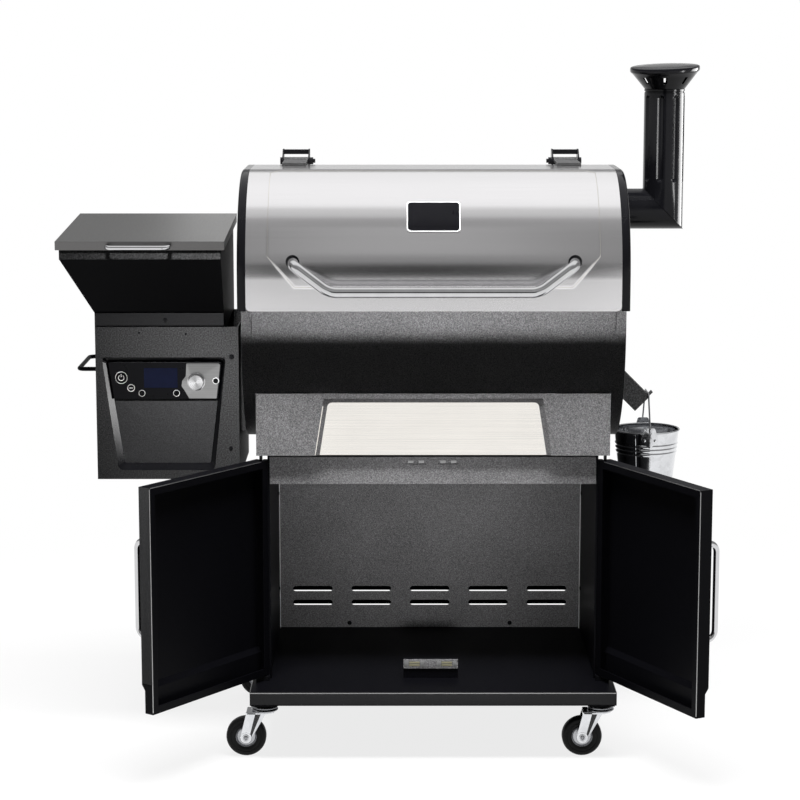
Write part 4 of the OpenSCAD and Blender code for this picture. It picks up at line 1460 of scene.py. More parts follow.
@dataclass
class GreaseLine:
    """The sloped spout, the pail and its wire bail.

    Foot and lining are rows of a height, an offset from the wall there, and the height of the point.
    """

    x: float = 419.0
    y: float = 205.0
    rim_z: float = 580.0
    rim_r: float = 64.0
    height: float = 118.0
    taper: float = 13.0
    inset: float = 1.0
    foot: tuple = ((4, -6, 4), (0, -3, 0.2), (0, -1, 0), (1, 0, 1.4))
    lower: tuple = (12, 30, 50, 64)
    upper: tuple = (104, 112)
    lining: tuple = ((108, -1.2, 108), (60, -1.2, 60), (10, -1.2, 8), (6, -4, 5.6))
    middle_r: float = 0.5
    middle_z: tuple = (4.0, 5.4)
    ribs_z: tuple = (70, 94, 49)
    rib_pitch: float = 8.0
    rib_out: float = 1.3
    curl_r: float = 1.8
    curl_in: float = 0.7
    ear: tuple = ((-17, 566), (0, 549), (17, 566), (10, 590), (-10, 590))
    ear_round: float = 4.0
    ear_in: float = 1.2
    ear_y: tuple = (-0.5, 2.2, 0.8)
    rivet: tuple = ((HUB_R, 1.9), (1.6, 1.7), (2.6, 0.9), (2.8, 0), (HUB_R, 0))
    rivet_x: tuple = (-10, 10)
    rivet_y: float = 2.0
    rivet_z: float = 566.0
    seam_z: tuple = (3.0, 5.0, 20)
    seam_deg: float = -118.0
    seam_wide: tuple = (-3.4, -2.8, 2.8, 3.4, 3.4, -3.4)
    seam_lift: tuple = (0.2, 0.9, 0.9, 0.2, -0.4, -0.4)
    bail_top: float = 651.2
    bail_half: float = 30.0
    bail_end: float = 62.0
    bail_rise: float = 1.5
    bail_bends: tuple = (4, 7, 7, 4)
    ear_reach: float = 73.0
    wire: float = 1.6

    def wall(self, z: Array) -> Array:
        """Returns the outer radius at heights above the pail's foot."""
        return self.rim_r - self.taper + self.taper * z / self.height - self.inset

    def beside(self, rows: Sequence[tuple]) -> Array:
        """Returns profile points beside the wall, from rows such as the foot's."""
        level, offset, z = np.array(rows, float).T
        return np.stack([self.wall(level) + offset, z], -1)

    def pail(self) -> Loft:
        """The pail: one closed profile with foot, three rolled ribs, curled rim and inner wall.

        Returns:
            The closed surface.
        """
        rib_z = np.linspace(*self.ribs_z)
        swell = self.rib_out * np.sin((rib_z - rib_z[0]) * math.pi / self.rib_pitch) ** 2
        ribs = np.stack([self.wall(rib_z) + swell, rib_z], -1)
        curl = arc((self.rim_r - self.curl_in, self.height - self.curl_r), self.curl_r,
                   np.linspace(-0.5 * math.pi, 1.2 * math.pi, 14))
        lower, upper = (self.beside([(z, 0, z) for z in heights]) for heights in (self.lower, self.upper))
        under, floor = ([(self.middle_r, z)] for z in self.middle_z)
        profile = np.concatenate([under, self.beside(self.foot), lower, ribs, upper, curl,
                                  self.beside(self.lining), floor])
        return lathe(profile, (self.x, self.y, self.rim_z - self.height), Axis.Z, 96)

    def ears(self) -> list[Loft]:
        """The two riveted ear plates, one in front and one behind: diamond outlines with rounded corners.

        Returns:
            The plates and their rivets.
        """
        shape = rounded_loop(self.ear, (self.ear_round,) * len(self.ear)) + np.array([self.x, 0])
        back, front, soft = self.ear_y
        parts = []
        for side in SIDES:
            lean = self.y + side * (self.rim_r - self.ear_in)
            parts.append(raised(shape, lean + side * back, lean + side * front, soft))
            seats = [(self.x + dx, lean + side * self.rivet_y, self.rivet_z) for dx in self.rivet_x]
            parts += [lathe(np.array(self.rivet) * (1, side), seat, Axis.Y, 16) for seat in seats]
        return parts

    def seam(self) -> Loft:
        """The folded side seam: a low strip that follows the wall from foot to rim, facing front left.

        Returns:
            The closed surface.
        """
        low, short, count = self.seam_z
        z = np.linspace(low, self.height - short, count)[:, None]
        r = self.wall(z) + np.array(self.seam_lift)
        turn = math.radians(self.seam_deg) + np.array(self.seam_wide) / self.rim_r
        return closed(np.stack([self.x + r * np.cos(turn), self.y + r * np.sin(turn),
                                self.rim_z - self.height + z + 0 * r], -1))

    def bail(self) -> Loft:
        """The wire handle: level top, two slanting legs and ends turned into the ears.

        Returns:
            The closed surface.
        """
        ear = self.rim_z + self.bail_rise
        half = [(self.bail_end, ear), (self.ear_reach, ear), (self.bail_half, self.bail_top)]
        points = [(self.x, self.y - b, c) for b, c in half] + [(self.x, self.y + b, c) for b, c in half[::-1]]
        return tube(bent(points, self.bail_bends, 8), self.wire, (1, 0, 0), 14)

    def build(self) -> None:
        """Makes the pail, its fittings and the bail, and dresses the spout."""
        piece("pail_can", [self.pail()], Coat.GALVANISED, "bucket", "pail")
        piece("pail_fittings", [*self.ears(), self.seam()], Coat.GALVANISED, "bucket")
        piece("pail_wire", [self.bail()], Coat.ZINC, "bail", "pail_bail")
        dress("grease_spout", Coat.HOPPER_POWDER, 0.8)


@dataclass
class Caster:
    """One swivel caster: tyre, hub, axle bolt, fork and ball race.

    Tyre and hub are half profiles of a radius and a depth below the tyre's side face. A strip of the fork
    has two edges at the axle, then two at the head, each a distance right of the axle and one out from the
    wheel's middle.
    """

    name: str
    x: float
    y: float
    trail: float = 35.0
    radius: float = 37.5
    width: float = 24.0
    steps: int = 72
    tyre_side: tuple = ((19.6, 2.2), (20, 2.2), (22, 1.2), (25, 0.6), (26, 1.2), (28, 1.2), (29, 0.2),
                        (32, 0), (33.6, 0.4), (35.4, 1.8), (36.8, 4), (37.5, 7), (37.5, 12))
    hub_side: tuple = ((4.2, -0.9), (8.6, -0.9), (9.2, -0.2), (9.4, 5), (12, 6), (16.5, 5.5), (18.2, 3),
                       (19.4, 2.4), (20.2, 3))
    bolt_r: float = 5.2
    bolt_out: float = 20.0
    lower_race: tuple = ((19, 86), (20.2, 86), (24.5, 88.2), (25.2, 89.6), (24.0, 91.2), (20.2, 91.6),
                         (19, 91.6))
    upper_race: tuple = ((19, 92.6), (20.4, 92.6), (23.8, 93), (24.8, 94.6), (23.8, 96.6), (20.4, 97.6),
                         (14, 99), (12, 100.6))
    sheet: float = 2.0
    head_z: float = 85.0
    head_plan: tuple = ((0, -17.6), (39, -17.6), (53, -9), (53, 9), (39, 17.6), (0, 17.6))
    head_rounds: tuple = (3, 6, 6, 6, 6, 3)
    head_low: float = 83.0
    head_edge: float = 86.0
    head_top: float = 87.4
    head_shrink: float = 0.96
    bore_r: float = 5.6
    face_strip: tuple = (((-11, 17.6), (6, 17.6)), ((1, 17.6), (18, 17.6)))
    shaded_web_strip: tuple = (((6, 17.6), (9.5, 16.4)), ((18, 17.6), (29, 14.7)))
    rib_strip: tuple = (((9.5, 16.4), (11, 17.2)), ((29, 14.7), (38, 16.4)))
    boss: tuple = ((HUB_R, 18.2), (8.4, 18.2), (10.4, 17.8), (11, 17.0), (11, 15.6), (HUB_R, 15.6))
    collar: tuple = ((HUB_R, 20.0), (6.4, 20.0), (7, 19.4), (7, 18), (HUB_R, 18))
    axle: tuple = ((3.9, -17), (3.9, 17))

    def wheel(self, side: Sequence[tuple]) -> Loft:
        """Spins a half profile and its mirror image about the axle, with no poles.

        Args:
            side: the half profile.

        Returns:
            The closed surface.
        """
        half = np.array(side, float)
        half[:, 1] = self.width / 2 - half[:, 1]
        line = np.concatenate([half, half[::-1] * (1, -1)])
        return hoop(line, (self.x - self.trail, self.y, self.radius), Axis.Y, self.steps)

    def bolts(self) -> list[Loft]:
        """Returns the axle's two screw heads."""
        seats = [(side, (self.x - self.trail, self.y + side * self.bolt_out, self.radius)) for side in SIDES]
        return [screw(seat, Axis.Y, side, self.bolt_r) for side, seat in seats]

    def strip(self, side: float, low: Sequence[tuple], high: Sequence[tuple]) -> Loft:
        """One strip of a pressed leg: a sheet between two edges that slant from the axle up to the head.

        Args:
            side: +1 for the rear leg, -1 for the front one.
            low: the two edges at the axle.
            high: the two edges at the head.

        Returns:
            The closed surface.
        """
        share = np.linspace(0, 1, 6)[:, None, None]
        outer = np.array(low, float) + (np.array(high, float) - np.array(low, float)) * share
        inner = outer - np.array([0, self.sheet])
        section = np.concatenate([outer, inner[:, ::-1]], axis=1)
        z = self.radius + (self.head_z - self.radius) * share[..., 0] + 0 * section[..., 0]
        x, y = self.x - self.trail + section[..., 0], self.y + side * section[..., 1]
        return closed(np.stack([x, y, z], -1))

    def head(self) -> Loft:
        """The fork's head plate: a rounded outline with a bore for the swivel pin.

        Returns:
            The closed surface.
        """
        plan = np.array(self.head_plan) + np.array([self.x - self.trail, 0])
        edge = rounded_loop(plan, self.head_rounds, 6) + np.array([0, self.y])
        middle = np.array([self.x, self.y])
        away = edge - middle
        bore = middle + self.bore_r * away / np.linalg.norm(away, axis=1, keepdims=True)
        rows = [(bore, self.head_low), (edge, self.head_low), (edge, self.head_edge),
                (middle + away * self.head_shrink, self.head_top), (bore, self.head_top)]
        return Loft(np.stack([np.column_stack([loop, np.full(len(loop), z)]) for loop, z in rows]), loop=True)

    def fork(self) -> tuple[list[Loft], list[Loft]]:
        """The pressed fork: bright faces, ribs, bosses and head, and the sloped webs between face and rib in
        a darker grey, which is painted shade on the same zinc.

        Returns:
            The bright surfaces, then the shaded webs.
        """
        bright, shaded_webs = [self.head()], []
        axle = (self.x - self.trail, self.y, self.radius)
        for side in SIDES:
            bright.append(self.strip(side, *self.face_strip))
            shaded_webs.append(self.strip(side, *self.shaded_web_strip))
            bright.append(self.strip(side, *self.rib_strip))
            bright.append(lathe(np.array(self.boss) * (1, side), axle, Axis.Y, 40))
            bright.append(lathe(np.array(self.collar) * (1, side), axle, Axis.Y, 28))
        bright.append(lathe(self.axle, axle, Axis.Y, 24))
        return bright, shaded_webs

    def build(self) -> None:
        """Makes the wheel, the fork and their fittings."""
        roller, swivel = f"{self.name}_roller", f"{self.name}_caster"
        piece(f"{self.name}_tyre", [self.wheel(self.tyre_side)], Coat.TYRE, roller, f"{self.name}_wheel")
        piece(f"{self.name}_hub", [self.wheel(self.hub_side)], Coat.ZINC, roller)
        piece(f"{self.name}_bolts", self.bolts(), Coat.ZINC, swivel)
        races = (self.lower_race, self.upper_race)
        lower, upper = (lathe(race, (self.x, self.y, 0), Axis.Z) for race in races)
        piece(f"{self.name}_lower_race", [lower], Coat.ZINC, swivel)
        piece(f"{self.name}_upper_race", [upper], Coat.ZINC, "cart")
        bright, shaded_webs = self.fork()
        piece(f"{self.name}_legs", bright, Coat.GALVANISED, swivel, f"{self.name}_fork")
        # painted shade: the webs get a grey paint instead of the fork's zinc, to look shaded
        piece(f"{self.name}_webs", shaded_webs, Coat.MOTOR, swivel)


@dataclass
class Cart:
    """The cabinet on its shelf: walls, louvred back, fascia with its plate, catches and fasteners.

    Fields that end in _slab are a back, a front and an edge radius along y. A row of bars, pads or magnets
    is their middles in x, half their width, their two ends in z and such a slab. The finishes are a coat and
    an edge's width.
    """

    back_y: float = 377.0
    louvre_x: tuple = (-239.0, -119.5, 0.0, 119.5, 239.0)
    louvre_z: tuple = (216.0, 187.0)
    louvre_half: float = 41.2
    hood_steps: tuple = (33, 8)
    hood_fade: float = 0.2
    hood_gap: float = 0.4
    hood_out: float = 5.0
    hood_top: float = 6.0
    hood_drop: float = 10.0
    hood_gauge: float = 0.7
    stile_x: tuple = (308.4, 317.0)
    stile_z: tuple = (121.0, 556.0)
    stile_slab: tuple = (5.0, 3.0, 0.5)
    shelf_half: float = 340.0
    shelf_front: float = 98.0
    shelf_z: float = 135.0
    edge_in: float = 0.9
    edge_r: float = 1.3
    side_edge_r: float = 1.2
    side_edge_y: float = -4.0
    apron_half: float = 338.5
    apron_z: tuple = (112.0, 132.6)
    apron_slab: tuple = (-97.6, -98.5, 0.3)
    bead_x: float = 304.8
    bead_y: float = 362.0
    bead_z: tuple = (136.5, 555.0)
    bead_r: float = 0.8
    fascia_y: float = -20.0
    window_outer: tuple = ((220.6, 567.2), (203.6, 674.4), 17.0)
    window_inner: tuple = ((211.4, 567.2), (195.6, 665.8), 9.0)
    window_y: tuple = (-0.25, 6.9, 6.9, 0.6)
    window_sheet: float = 0.996
    # painted highlight: a bright rod along the window frame's left slope only, standing in for the light that
    # slope catches
    glint_line: tuple = ((-218.6, -20.2, 568.5), (-211.2, -20.2, 615.0), (-204.0, -20.2, 660.0))
    glint_r: float = 1.3
    corner_more: float = 0.4
    bars: tuple = (((-3.5,), 51.5, (154.0, 172.0), (1.0, -0.63, 0.3)),
                   ((-31.5, 28.5), 19.5, (548.0, 557.0), (1.0, -0.68, 0.3)))
    pads: tuple = (((-49.0, -19.0, 12.0, 42.0), 4.0, (157.0, 169.0), (0.0, -0.7, 0.2)),
                   ((-41.5, -21.5, 18.5, 38.5), 5.0, (549.6, 554.6), (0.0, -0.78, 0.2)))
    magnets: tuple = (((-34.0,), 10.0, (158.5, 162.5), (0.0, -0.78, 0.3)),
                      ((-34.0,), 10.0, (163.5, 167.5), (0.0, -0.78, 0.3)),
                      ((27.0,), 10.0, (158.5, 162.5), (0.0, -0.78, 0.3)),
                      ((27.0,), 10.0, (163.5, 167.5), (0.0, -0.78, 0.3)))
    screw_rows: tuple = (
        (Axis.Y, -1, 4.5, (-164, 164), (377,), (144,)),
        (Axis.X, 1, 4.5, (-306.5,), (352,), (223, 420)),
        (Axis.X, -1, 4.5, (306.5,), (352,), (223, 420)),
        (Axis.X, -1, 4.5, (-308.5,), (60, 330), (160, 350, 540)),
        (Axis.X, 1, 4.5, (308.5,), (60, 330), (160, 350, 540)),
        (Axis.Y, 1, 4.5, (-296, 296), (379,), (150, 350, 552)),
    )
    finishes: dict = field(default_factory=lambda: {
        "base_shelf": (Coat.SATIN, 1.2), "caster_plates": (Coat.SATIN, 0.6), "left_wall": (Coat.SATIN, 0.6),
        "right_wall": (Coat.SATIN, 0.6), "back_panel": (Coat.POWDER, 0.4), "header_rail": (Coat.POWDER, 1.0),
        "magnet_catches": (Coat.SATIN, 0.4), "fascia": (Coat.POWDER, 0.8),
        "fascia_plate": (Coat.PLATE_STEEL, 0.4), "barrel_cradle": (Coat.SATIN, 0.4),
        "door_pivots": (Coat.SCREW, 0.5)})

    def hoods(self) -> list[Loft]:
        """The louvres' hoods: a near-black sheet behind each slot, sloped back from its top and drawn in to
        the ends, whose dark coat paints the shade inside the hoods.

        Returns:
            The hoods.
        """
        across, deep = self.hood_steps
        t = np.linspace(-1, 1, across)[:, None]
        past = np.clip((np.abs(t) - 1 + self.hood_fade) / self.hood_fade, 0, 1)
        down = np.linspace(0, 1, deep)[None]
        y = self.back_y + self.hood_gap + self.hood_out * np.sqrt(1 - past ** 2) * down
        front = np.stack([self.louvre_half * t + 0 * y, y, self.hood_top - self.hood_drop * down + 0 * y], -1)
        back = front + np.array([0, self.hood_gauge, 0])
        sheet = np.concatenate([front, back[:, ::-1]], axis=1)
        return [closed(sheet + np.array([x, 0, z])) for x in self.louvre_x for z in self.louvre_z]

    def stiles(self) -> list[Loft]:
        """Returns the walls' outer flanges beside the doors' hinges."""
        near, far = self.stile_x
        return [self.slab(x, self.stile_z, self.stile_slab) for x in ((-far, -near), (near, far))]

    def shelf_edge_highlights(self) -> list[Loft]:
        """Painted highlights on the bent edges round the shelf's top: light rods, one along the front and one
        down each side.

        Returns:
            The edges.
        """
        x, y, z = self.shelf_half - self.edge_in, self.edge_in - self.shelf_front, self.shelf_z - self.edge_in
        ends = [((side * x, y, z), (side * x, self.side_edge_y, z)) for side in SIDES]
        return [rod((-x, y, z), (x, y, z), self.edge_r, UP, 12),
                *(rod(start, end, self.side_edge_r, UP, 12) for start, end in ends)]

    def beads(self) -> list[Loft]:
        """Returns painted highlights down the walls' rear flanges: thin white rods standing in for the light
        their edges catch.
        """
        ends = [[(side * self.bead_x, self.bead_y, z) for z in self.bead_z] for side in SIDES]
        return [rod(low, high, self.bead_r, BACK, 12) for low, high in ends]

    def arch(self, foot: tuple, head: tuple, radius: float) -> Array:
        """Returns a window's outline from bottom left to bottom right, rounded at the top."""
        (x0, z0), (x1, z1) = foot, head
        return bent([(-x0, z0), (-x1, z1), (x1, z1), (x0, z0)], (radius, radius), 12)

    def window(self) -> Loft:
        """The fascia window's sloped frame: a band between two rounded openings.

        Returns:
            The closed surface.
        """
        outer, inner = self.arch(*self.window_outer), self.arch(*self.window_inner)
        under = np.array([self.window_sheet, 1.0])
        lines = zip((outer, inner, inner * under, outer * under), self.window_y)
        return closed(np.stack([upright(line, self.fascia_y + y) for line, y in lines], axis=1))

    def slab(self, across: Sequence[float], along: Sequence[float], depths: Sequence[float]) -> Loft:
        """Returns a small flat bar standing along -y, with rounded corners and an eased face."""
        return raised(rounded_box(across, along, depths[2] + self.corner_more), *depths)

    def bank(self, rows: Sequence[tuple]) -> list[Loft]:
        """Returns slabs in rows, such as the catches' bars, pads and bare magnets."""
        return [self.slab((x - half, x + half), along, depths)
                for middles, half, along, depths in rows for x in middles]

    def build(self) -> None:
        """Makes the fine pieces and dresses the cart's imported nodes."""
        for node, (coat, edge) in self.finishes.items():
            dress(node, coat, edge)
        apron = self.slab((-self.apron_half, self.apron_half), self.apron_z, self.apron_slab)
        # painted highlight on the window frame's left slope
        lip = tube(np.array(self.glint_line), self.glint_r, BACK, 10)
        # painted shade: near-black sheets over the back panel's own vanes stand in for the shade inside the
        # louvres
        piece("louvre_shade_hoods", self.hoods(), Coat.SATIN, "cart")
        piece("wall_stiles", self.stiles(), Coat.SATIN, "cart")
        # painted highlight: light rods on the black shelf's edges stand in for the light those edges catch
        piece("shelf_edge_highlights", self.shelf_edge_highlights(), Coat.EDGE_HIGHLIGHT, "cart")
        piece("shelf_apron", [apron], Coat.PANEL, "cart")
        # painted highlight: white rods on the black flanges stand in for the light their edges catch
        piece("wall_bead_highlights", self.beads(), Coat.MARK, "cart")
        piece("window_frame", [self.window()], Coat.POWDER, "cart")
        piece("window_glint", [lip], Coat.PLATE_STEEL, "cart")
        piece("cart_screws", screws(self.screw_rows), Coat.SCREW, "cart")
        piece("catch_bars", self.bank(self.bars), Coat.POWDER, "cart")
        piece("catch_pads", self.bank(self.pads), Coat.SILVER, "cart")
        piece("catch_magnets", self.bank(self.magnets), Coat.MAGNET, "cart")


@dataclass
class Doors:
    """The two hinged doors with their bowed pulls, drawn closed about the hinge and turned to their rest."""

    hinge_x: float = 320.0
    hinge_y: float = -10.0
    open_deg: dict = field(default_factory=lambda: {"left": 126.2, "right": 118.0})
    width: float = 317.5
    inner: float = 9.0
    outer: float = -17.0
    low: float = 145.0
    high: float = 556.0
    trim_in: float = 0.6
    rim_from: float = 10.0
    rim_foot: float = 4.0
    rim_bend: float = 3.0
    rim_r: float = 0.8
    rim_up: tuple = (0.3, 0.9, 0.2)
    edge_foot: float = 55.0
    edge_round: float = 1.0
    edge_back: float = 0.4
    edge_out: float = 0.5
    edge_soft: float = 0.4

    def hung(self, side: str, points: Array) -> Array:
        """Turns points of a closed left leaf to where they stand on one side of the open cabinet.

        Args:
            side: left or right.
            points: the points, from the hinge.

        Returns:
            The turned points.
        """
        hand = -1.0 if side == "left" else 1.0
        turn = math.radians(self.open_deg[side])
        x, y, z = np.moveaxis(np.asarray(points, float), -1, 0)
        across = -hand * (x * math.cos(turn) + y * math.sin(turn))
        depth = y * math.cos(turn) - x * math.sin(turn)
        return np.stack([hand * self.hinge_x + across, self.hinge_y + depth, z], -1)

    def rim(self, side: str) -> Loft:
        """A painted highlight along the bend round a leaf's inner face: a light rod along its top and down
        its free edge.

        Args:
            side: left or right.

        Returns:
            The closed surface.
        """
        x, y, top = (end - self.trim_in for end in (self.width, self.inner, self.high))
        corners = [(self.rim_from, y, top), (x, y, top), (x, y, self.low + self.rim_foot)]
        return tube(self.hung(side, bent(corners, (self.rim_bend,), 6)), self.rim_r, self.rim_up, 10)

    def edge(self, side: str) -> Loft:
        """A leaf's free edge: a thin lighter strip over its thickness, painted light that stands in for the
        light the black edge catches.

        Args:
            side: left or right.

        Returns:
            The closed surface.
        """
        outline = rounded_box((self.outer + self.trim_in, self.inner - self.trim_in),
                              (self.low + self.edge_foot, self.high - self.trim_in), self.edge_round)
        back, front = self.width - self.edge_back, self.width + self.edge_out
        strip = raised(outline, back, front, self.edge_soft, Axis.X)
        return Loft(self.hung(side, strip.rings))

    def build(self) -> None:
        """Makes the painted highlights on the leaves' bends and the left leaf's painted lit edge, and dresses
        the doors and pulls.
        """
        for side in self.open_deg:
            dress(f"{side}_door", Coat.SATIN, 0.9)
            dress(f"{side}_door_handle", Coat.CHROME)
            # painted highlight: a light rod on the black leaf's bend stands in for the light the bend catches
            piece(f"{side}_door_rim_highlight", [self.rim(side)], Coat.EDGE_HIGHLIGHT, f"{side}_door_leaf")
        # painted light: only the left leaf's edge gets this lighter coat, standing in for the light falling
        # on that edge
        piece("left_door_lit_edge", [self.edge("left")], Coat.RECESS, "left_door_leaf")


@dataclass
class Hopper:
    """The pellet hopper with its recessed front and controller.

    Fields that end in _slab are a back, a front and an edge radius along y, and those that end in _ring are
    an inner and an outer radius, a back and a front. A row of the bezel is a share of the way in from its
    outer edge, and a depth. A row of the knob is a radius, a depth, and whether it has grips.
    """

    recess_outer: tuple = ((-613.4, 748.4), (-383.6, 748.4), (-406.6, 536.6), (-585.4, 536.6))
    recess_inner: tuple = ((-602.6, 738.6), (-392.0, 738.6), (-414.4, 548.4), (-574.6, 548.4))
    outer_rounds: tuple = (9, 9, 10, 10)
    inner_rounds: tuple = (4, 4, 5, 5)
    bezel_rows: tuple = ((0.0, 1.2), (0.0, -0.5), (0.015, -0.7), (1.0, 7.9), (1.0, 8.6))
    trim_round: float = 1.5
    strip_box: tuple = ((-624.4, -386.6), (808.0, 831.0))
    strip_slab: tuple = (0.5, -2.6, 0.8)
    lip_box: tuple = ((-678.6, -386.4), (936.5, 954.0))
    lip_slab: tuple = (-63.5, -65.2, 0.7)
    floor_edge: tuple = ((-592.0, 669.0), (-400.6, 669.0), (-414.6, 548.6), (-574.2, 548.6))
    floor_rounds: tuple = (1, 1, 5, 5)
    floor_slab: tuple = (8.6, 7.6, 0.3)
    silver_edge: tuple = ((-430, 737), (-394.2, 737), (-401.8, 671), (-452.5, 671), (-461, 686),
                          (-466.5, 694), (-465.5, 704), (-458.5, 713), (-457, 737), (-430, 737))
    silver_rounds: tuple = (4, 1.5, 1.5, 4, 4, 5, 5, 1.5)
    silver_slab: tuple = (3.4, 2.3, 0.3)
    plate_y: float = 3.0
    ring_ease: float = 0.2
    power: tuple = (-578.0, 710.0)
    power_r: float = 10.0
    power_ring: tuple = (10.4, 11.5, 3.2, 2.3)
    power_arc: tuple = (125, 415, 30)
    power_arc_r: float = 5.2
    power_bar: tuple = (1.6, 6.8)
    set_key: tuple = (-560.0, 691.0)
    set_r: float = 7.5
    set_ring: tuple = (5.7, 6.9, 1.6, 0.8)
    set_dash: float = 3.4
    key_deep: float = 3.0
    key_edge: tuple = ((1.2, -2.0), (0.3, -1.4), (0.0, -0.6), (0.0, 3.0))
    power_rise: float = 2.35
    set_rise: float = 2.3
    sign_r: float = 0.7
    jacks: tuple = ((-540.0, 681.0), (-476.0, 681.0))
    jack_ring: tuple = (5.3, 6.2, 2.4, 1.1)
    plate_screw: tuple = (-403.0, 704.0)
    screw_ring: tuple = (4.8, 6.2, 3.2, 1.9)
    knob: tuple = (-439.0, 703.0)
    grips: int = 36
    grip_deep: float = 0.018
    skirt_rows: tuple = ((HUB_R, 2.2, 0), (16.2, 2.2, 0), (16.6, 1.4, 0), (16.6, -0.6, 0), (15.2, -1.2, 0),
                         (14.9, -1.6, 1), (14.6, -9.8, 1), (13.9, -11, 0), (HUB_R, -11, 0))
    knob_face: tuple = ((HUB_R, -10.6), (13.6, -10.6), (13.7, -11.4), (13.0, -12.0), (HUB_R, -12.15))
    screw_rows: tuple = (
        (Axis.Y, -1, 4.6, (-373,), (0,), (749.7,)),
        (Axis.Y, -1, 4.0, (-376,), (0,), (577.3,)),
        (Axis.Y, -1, 4.2, (-494.5,), (-2.6,), (818.4,)),
        (Axis.Y, -1, 1.8, (-543.3,), (0,), (794,)),
        (Axis.Y, -1, 1.8, (-457,), (0,), (792,)),
        (Axis.Y, -1, 4.4, (-403,), (2.6,), (704,)),
        (Axis.X, -1, 4.2, (-625,), (24, 250), (535, 785)),
        (Axis.Y, 1, 4.2, (-612, -375), (272,), (532, 660, 790)),
    )
    finishes: dict = field(default_factory=lambda: {
        "hopper_housing": (Coat.HOPPER_POWDER, 0.8), "hopper_front": (Coat.HOPPER_POWDER, 0.6),
        # painted shade: the bin gets the near-black coat instead of the hopper's powder, standing in for the
        # shade on its down-facing flare
        "hopper_bin": (Coat.SATIN, 0.8), "hopper_hinge": (Coat.SCREW, 0.4),
        "hopper_lid": (Coat.HOPPER_STEEL, 1.2), "hopper_lid_handle": (Coat.CHROME, 0),
        "controller_plate": (Coat.PLASTIC, 0.3), "display_window": (Coat.GLASS, 0.2),
        "probe_jacks": (Coat.PLASTIC, 0.4), "pull_handle": (Coat.SATIN, 0),
        "power_inlet": (Coat.PLASTIC, 0.6), "auger_tube": (Coat.ZINC, 0), "auger": (Coat.ZINC, 0),
        "auger_motor": (Coat.MOTOR, 1.5), "fan_housing": (Coat.MOTOR, 0), "fan_impeller": (Coat.PLASTIC, 0)})

    def bezel(self) -> Loft:
        """The recess's sloped wall: a band between two rounded outlines, a little proud of the panel.

        Returns:
            The closed surface.
        """
        outer = rounded_loop(self.recess_outer, self.outer_rounds, 9)
        inner = rounded_loop(self.recess_inner, self.inner_rounds, 9)
        rings = [upright(outer * (1 - share) + inner * share, y) for share, y in self.bezel_rows]
        return Loft(np.stack(rings), loop=True)

    def trim(self) -> tuple[Loft, Loft, Loft, Loft]:
        """The recess's smooth floor, the bin's strip and lip, and the controller's light part.

        The light part is a flat shape with a stepped left edge that bulges round the knob.

        Returns:
            The floor, the strip, the lip and the light part.
        """
        floor = rounded_loop(self.floor_edge, self.floor_rounds, 6)
        strip, lip = (rounded_box(*box, self.trim_round) for box in (self.strip_box, self.lip_box))
        silver = bent(self.silver_edge, self.silver_rounds, 5)[:-1]
        return (raised(floor, *self.floor_slab), raised(strip, *self.strip_slab), raised(lip, *self.lip_slab),
                raised(silver, *self.silver_slab))

    def ring(self, centre: tuple, inner: float, outer: float, back: float, front: float) -> Loft:
        """A flat ring standing along -y: a profile with eased edges, spun about the centre.

        Args:
            centre: the middle in x and z.
            inner: the inner radius.
            outer: the outer radius.
            back: place of the back along y.
            front: place of the face along y.

        Returns:
            The closed surface.
        """
        ease = self.ring_ease
        profile = [(inner, back), (inner, front + ease), (inner + ease, front), (outer - ease, front),
                   (outer, front + ease), (outer, back)]
        return hoop(profile, (centre[0], 0, centre[1]), Axis.Y)

    def rings(self) -> list[Loft]:
        """Returns the light rings round the power key, the plate's screw and the jacks."""
        return [self.ring(self.power, *self.power_ring), self.ring(self.plate_screw, *self.screw_ring),
                *(self.ring(jack, *self.jack_ring) for jack in self.jacks)]

    def key(self, centre: tuple, radius: float) -> Loft:
        """A domed push key on its shaft.

        Args:
            centre: the middle in x and z.
            radius: the key's radius.

        Returns:
            The closed surface.
        """
        edge = [(radius - less, y) for less, y in self.key_edge]
        profile = [(HUB_R, -2.4), (radius / 2, -2.35), *edge, (HUB_R, self.key_deep)]
        return lathe(profile, (centre[0], self.plate_y, centre[1]), Axis.Y, 40)

    def power_sign(self) -> list[Loft]:
        """The power key's sign: an open arc with an upright bar.

        Returns:
            The arc and the bar.
        """
        x, z = self.power
        y = self.plate_y - self.power_rise
        bow = upright(arc(self.power, self.power_arc_r, np.radians(np.linspace(*self.power_arc))), y)
        low, high = self.power_bar
        return [tube(bow, self.sign_r, BACK, 8), rod((x, y, z + low), (x, y, z + high), self.sign_r, BACK)]

    def set_sign(self) -> list[Loft]:
        """The set key's light ring and short dash.

        Returns:
            The ring and the dash.
        """
        x, z = self.set_key
        y = self.plate_y - self.set_rise
        dash = rod((x - self.set_dash, y, z), (x + self.set_dash, y, z), self.sign_r, BACK)
        return [self.ring(self.set_key, *self.set_ring), dash]

    def skirt(self) -> Loft:
        """The knob's dark skirt: rings whose radius steps in at each grip.

        Returns:
            The closed surface.
        """
        x, z = self.knob
        angle = circle(4 * self.grips)
        grip = 1 - self.grip_deep * (np.cos(self.grips * angle) > 0)
        radius, y, gripped = np.array(self.skirt_rows, float).T[..., None]
        r = radius * np.where(gripped > 0, grip[None], 1.0)
        return closed(np.stack([x + r * np.cos(angle), y + 0 * r, z + r * np.sin(angle)], -1))

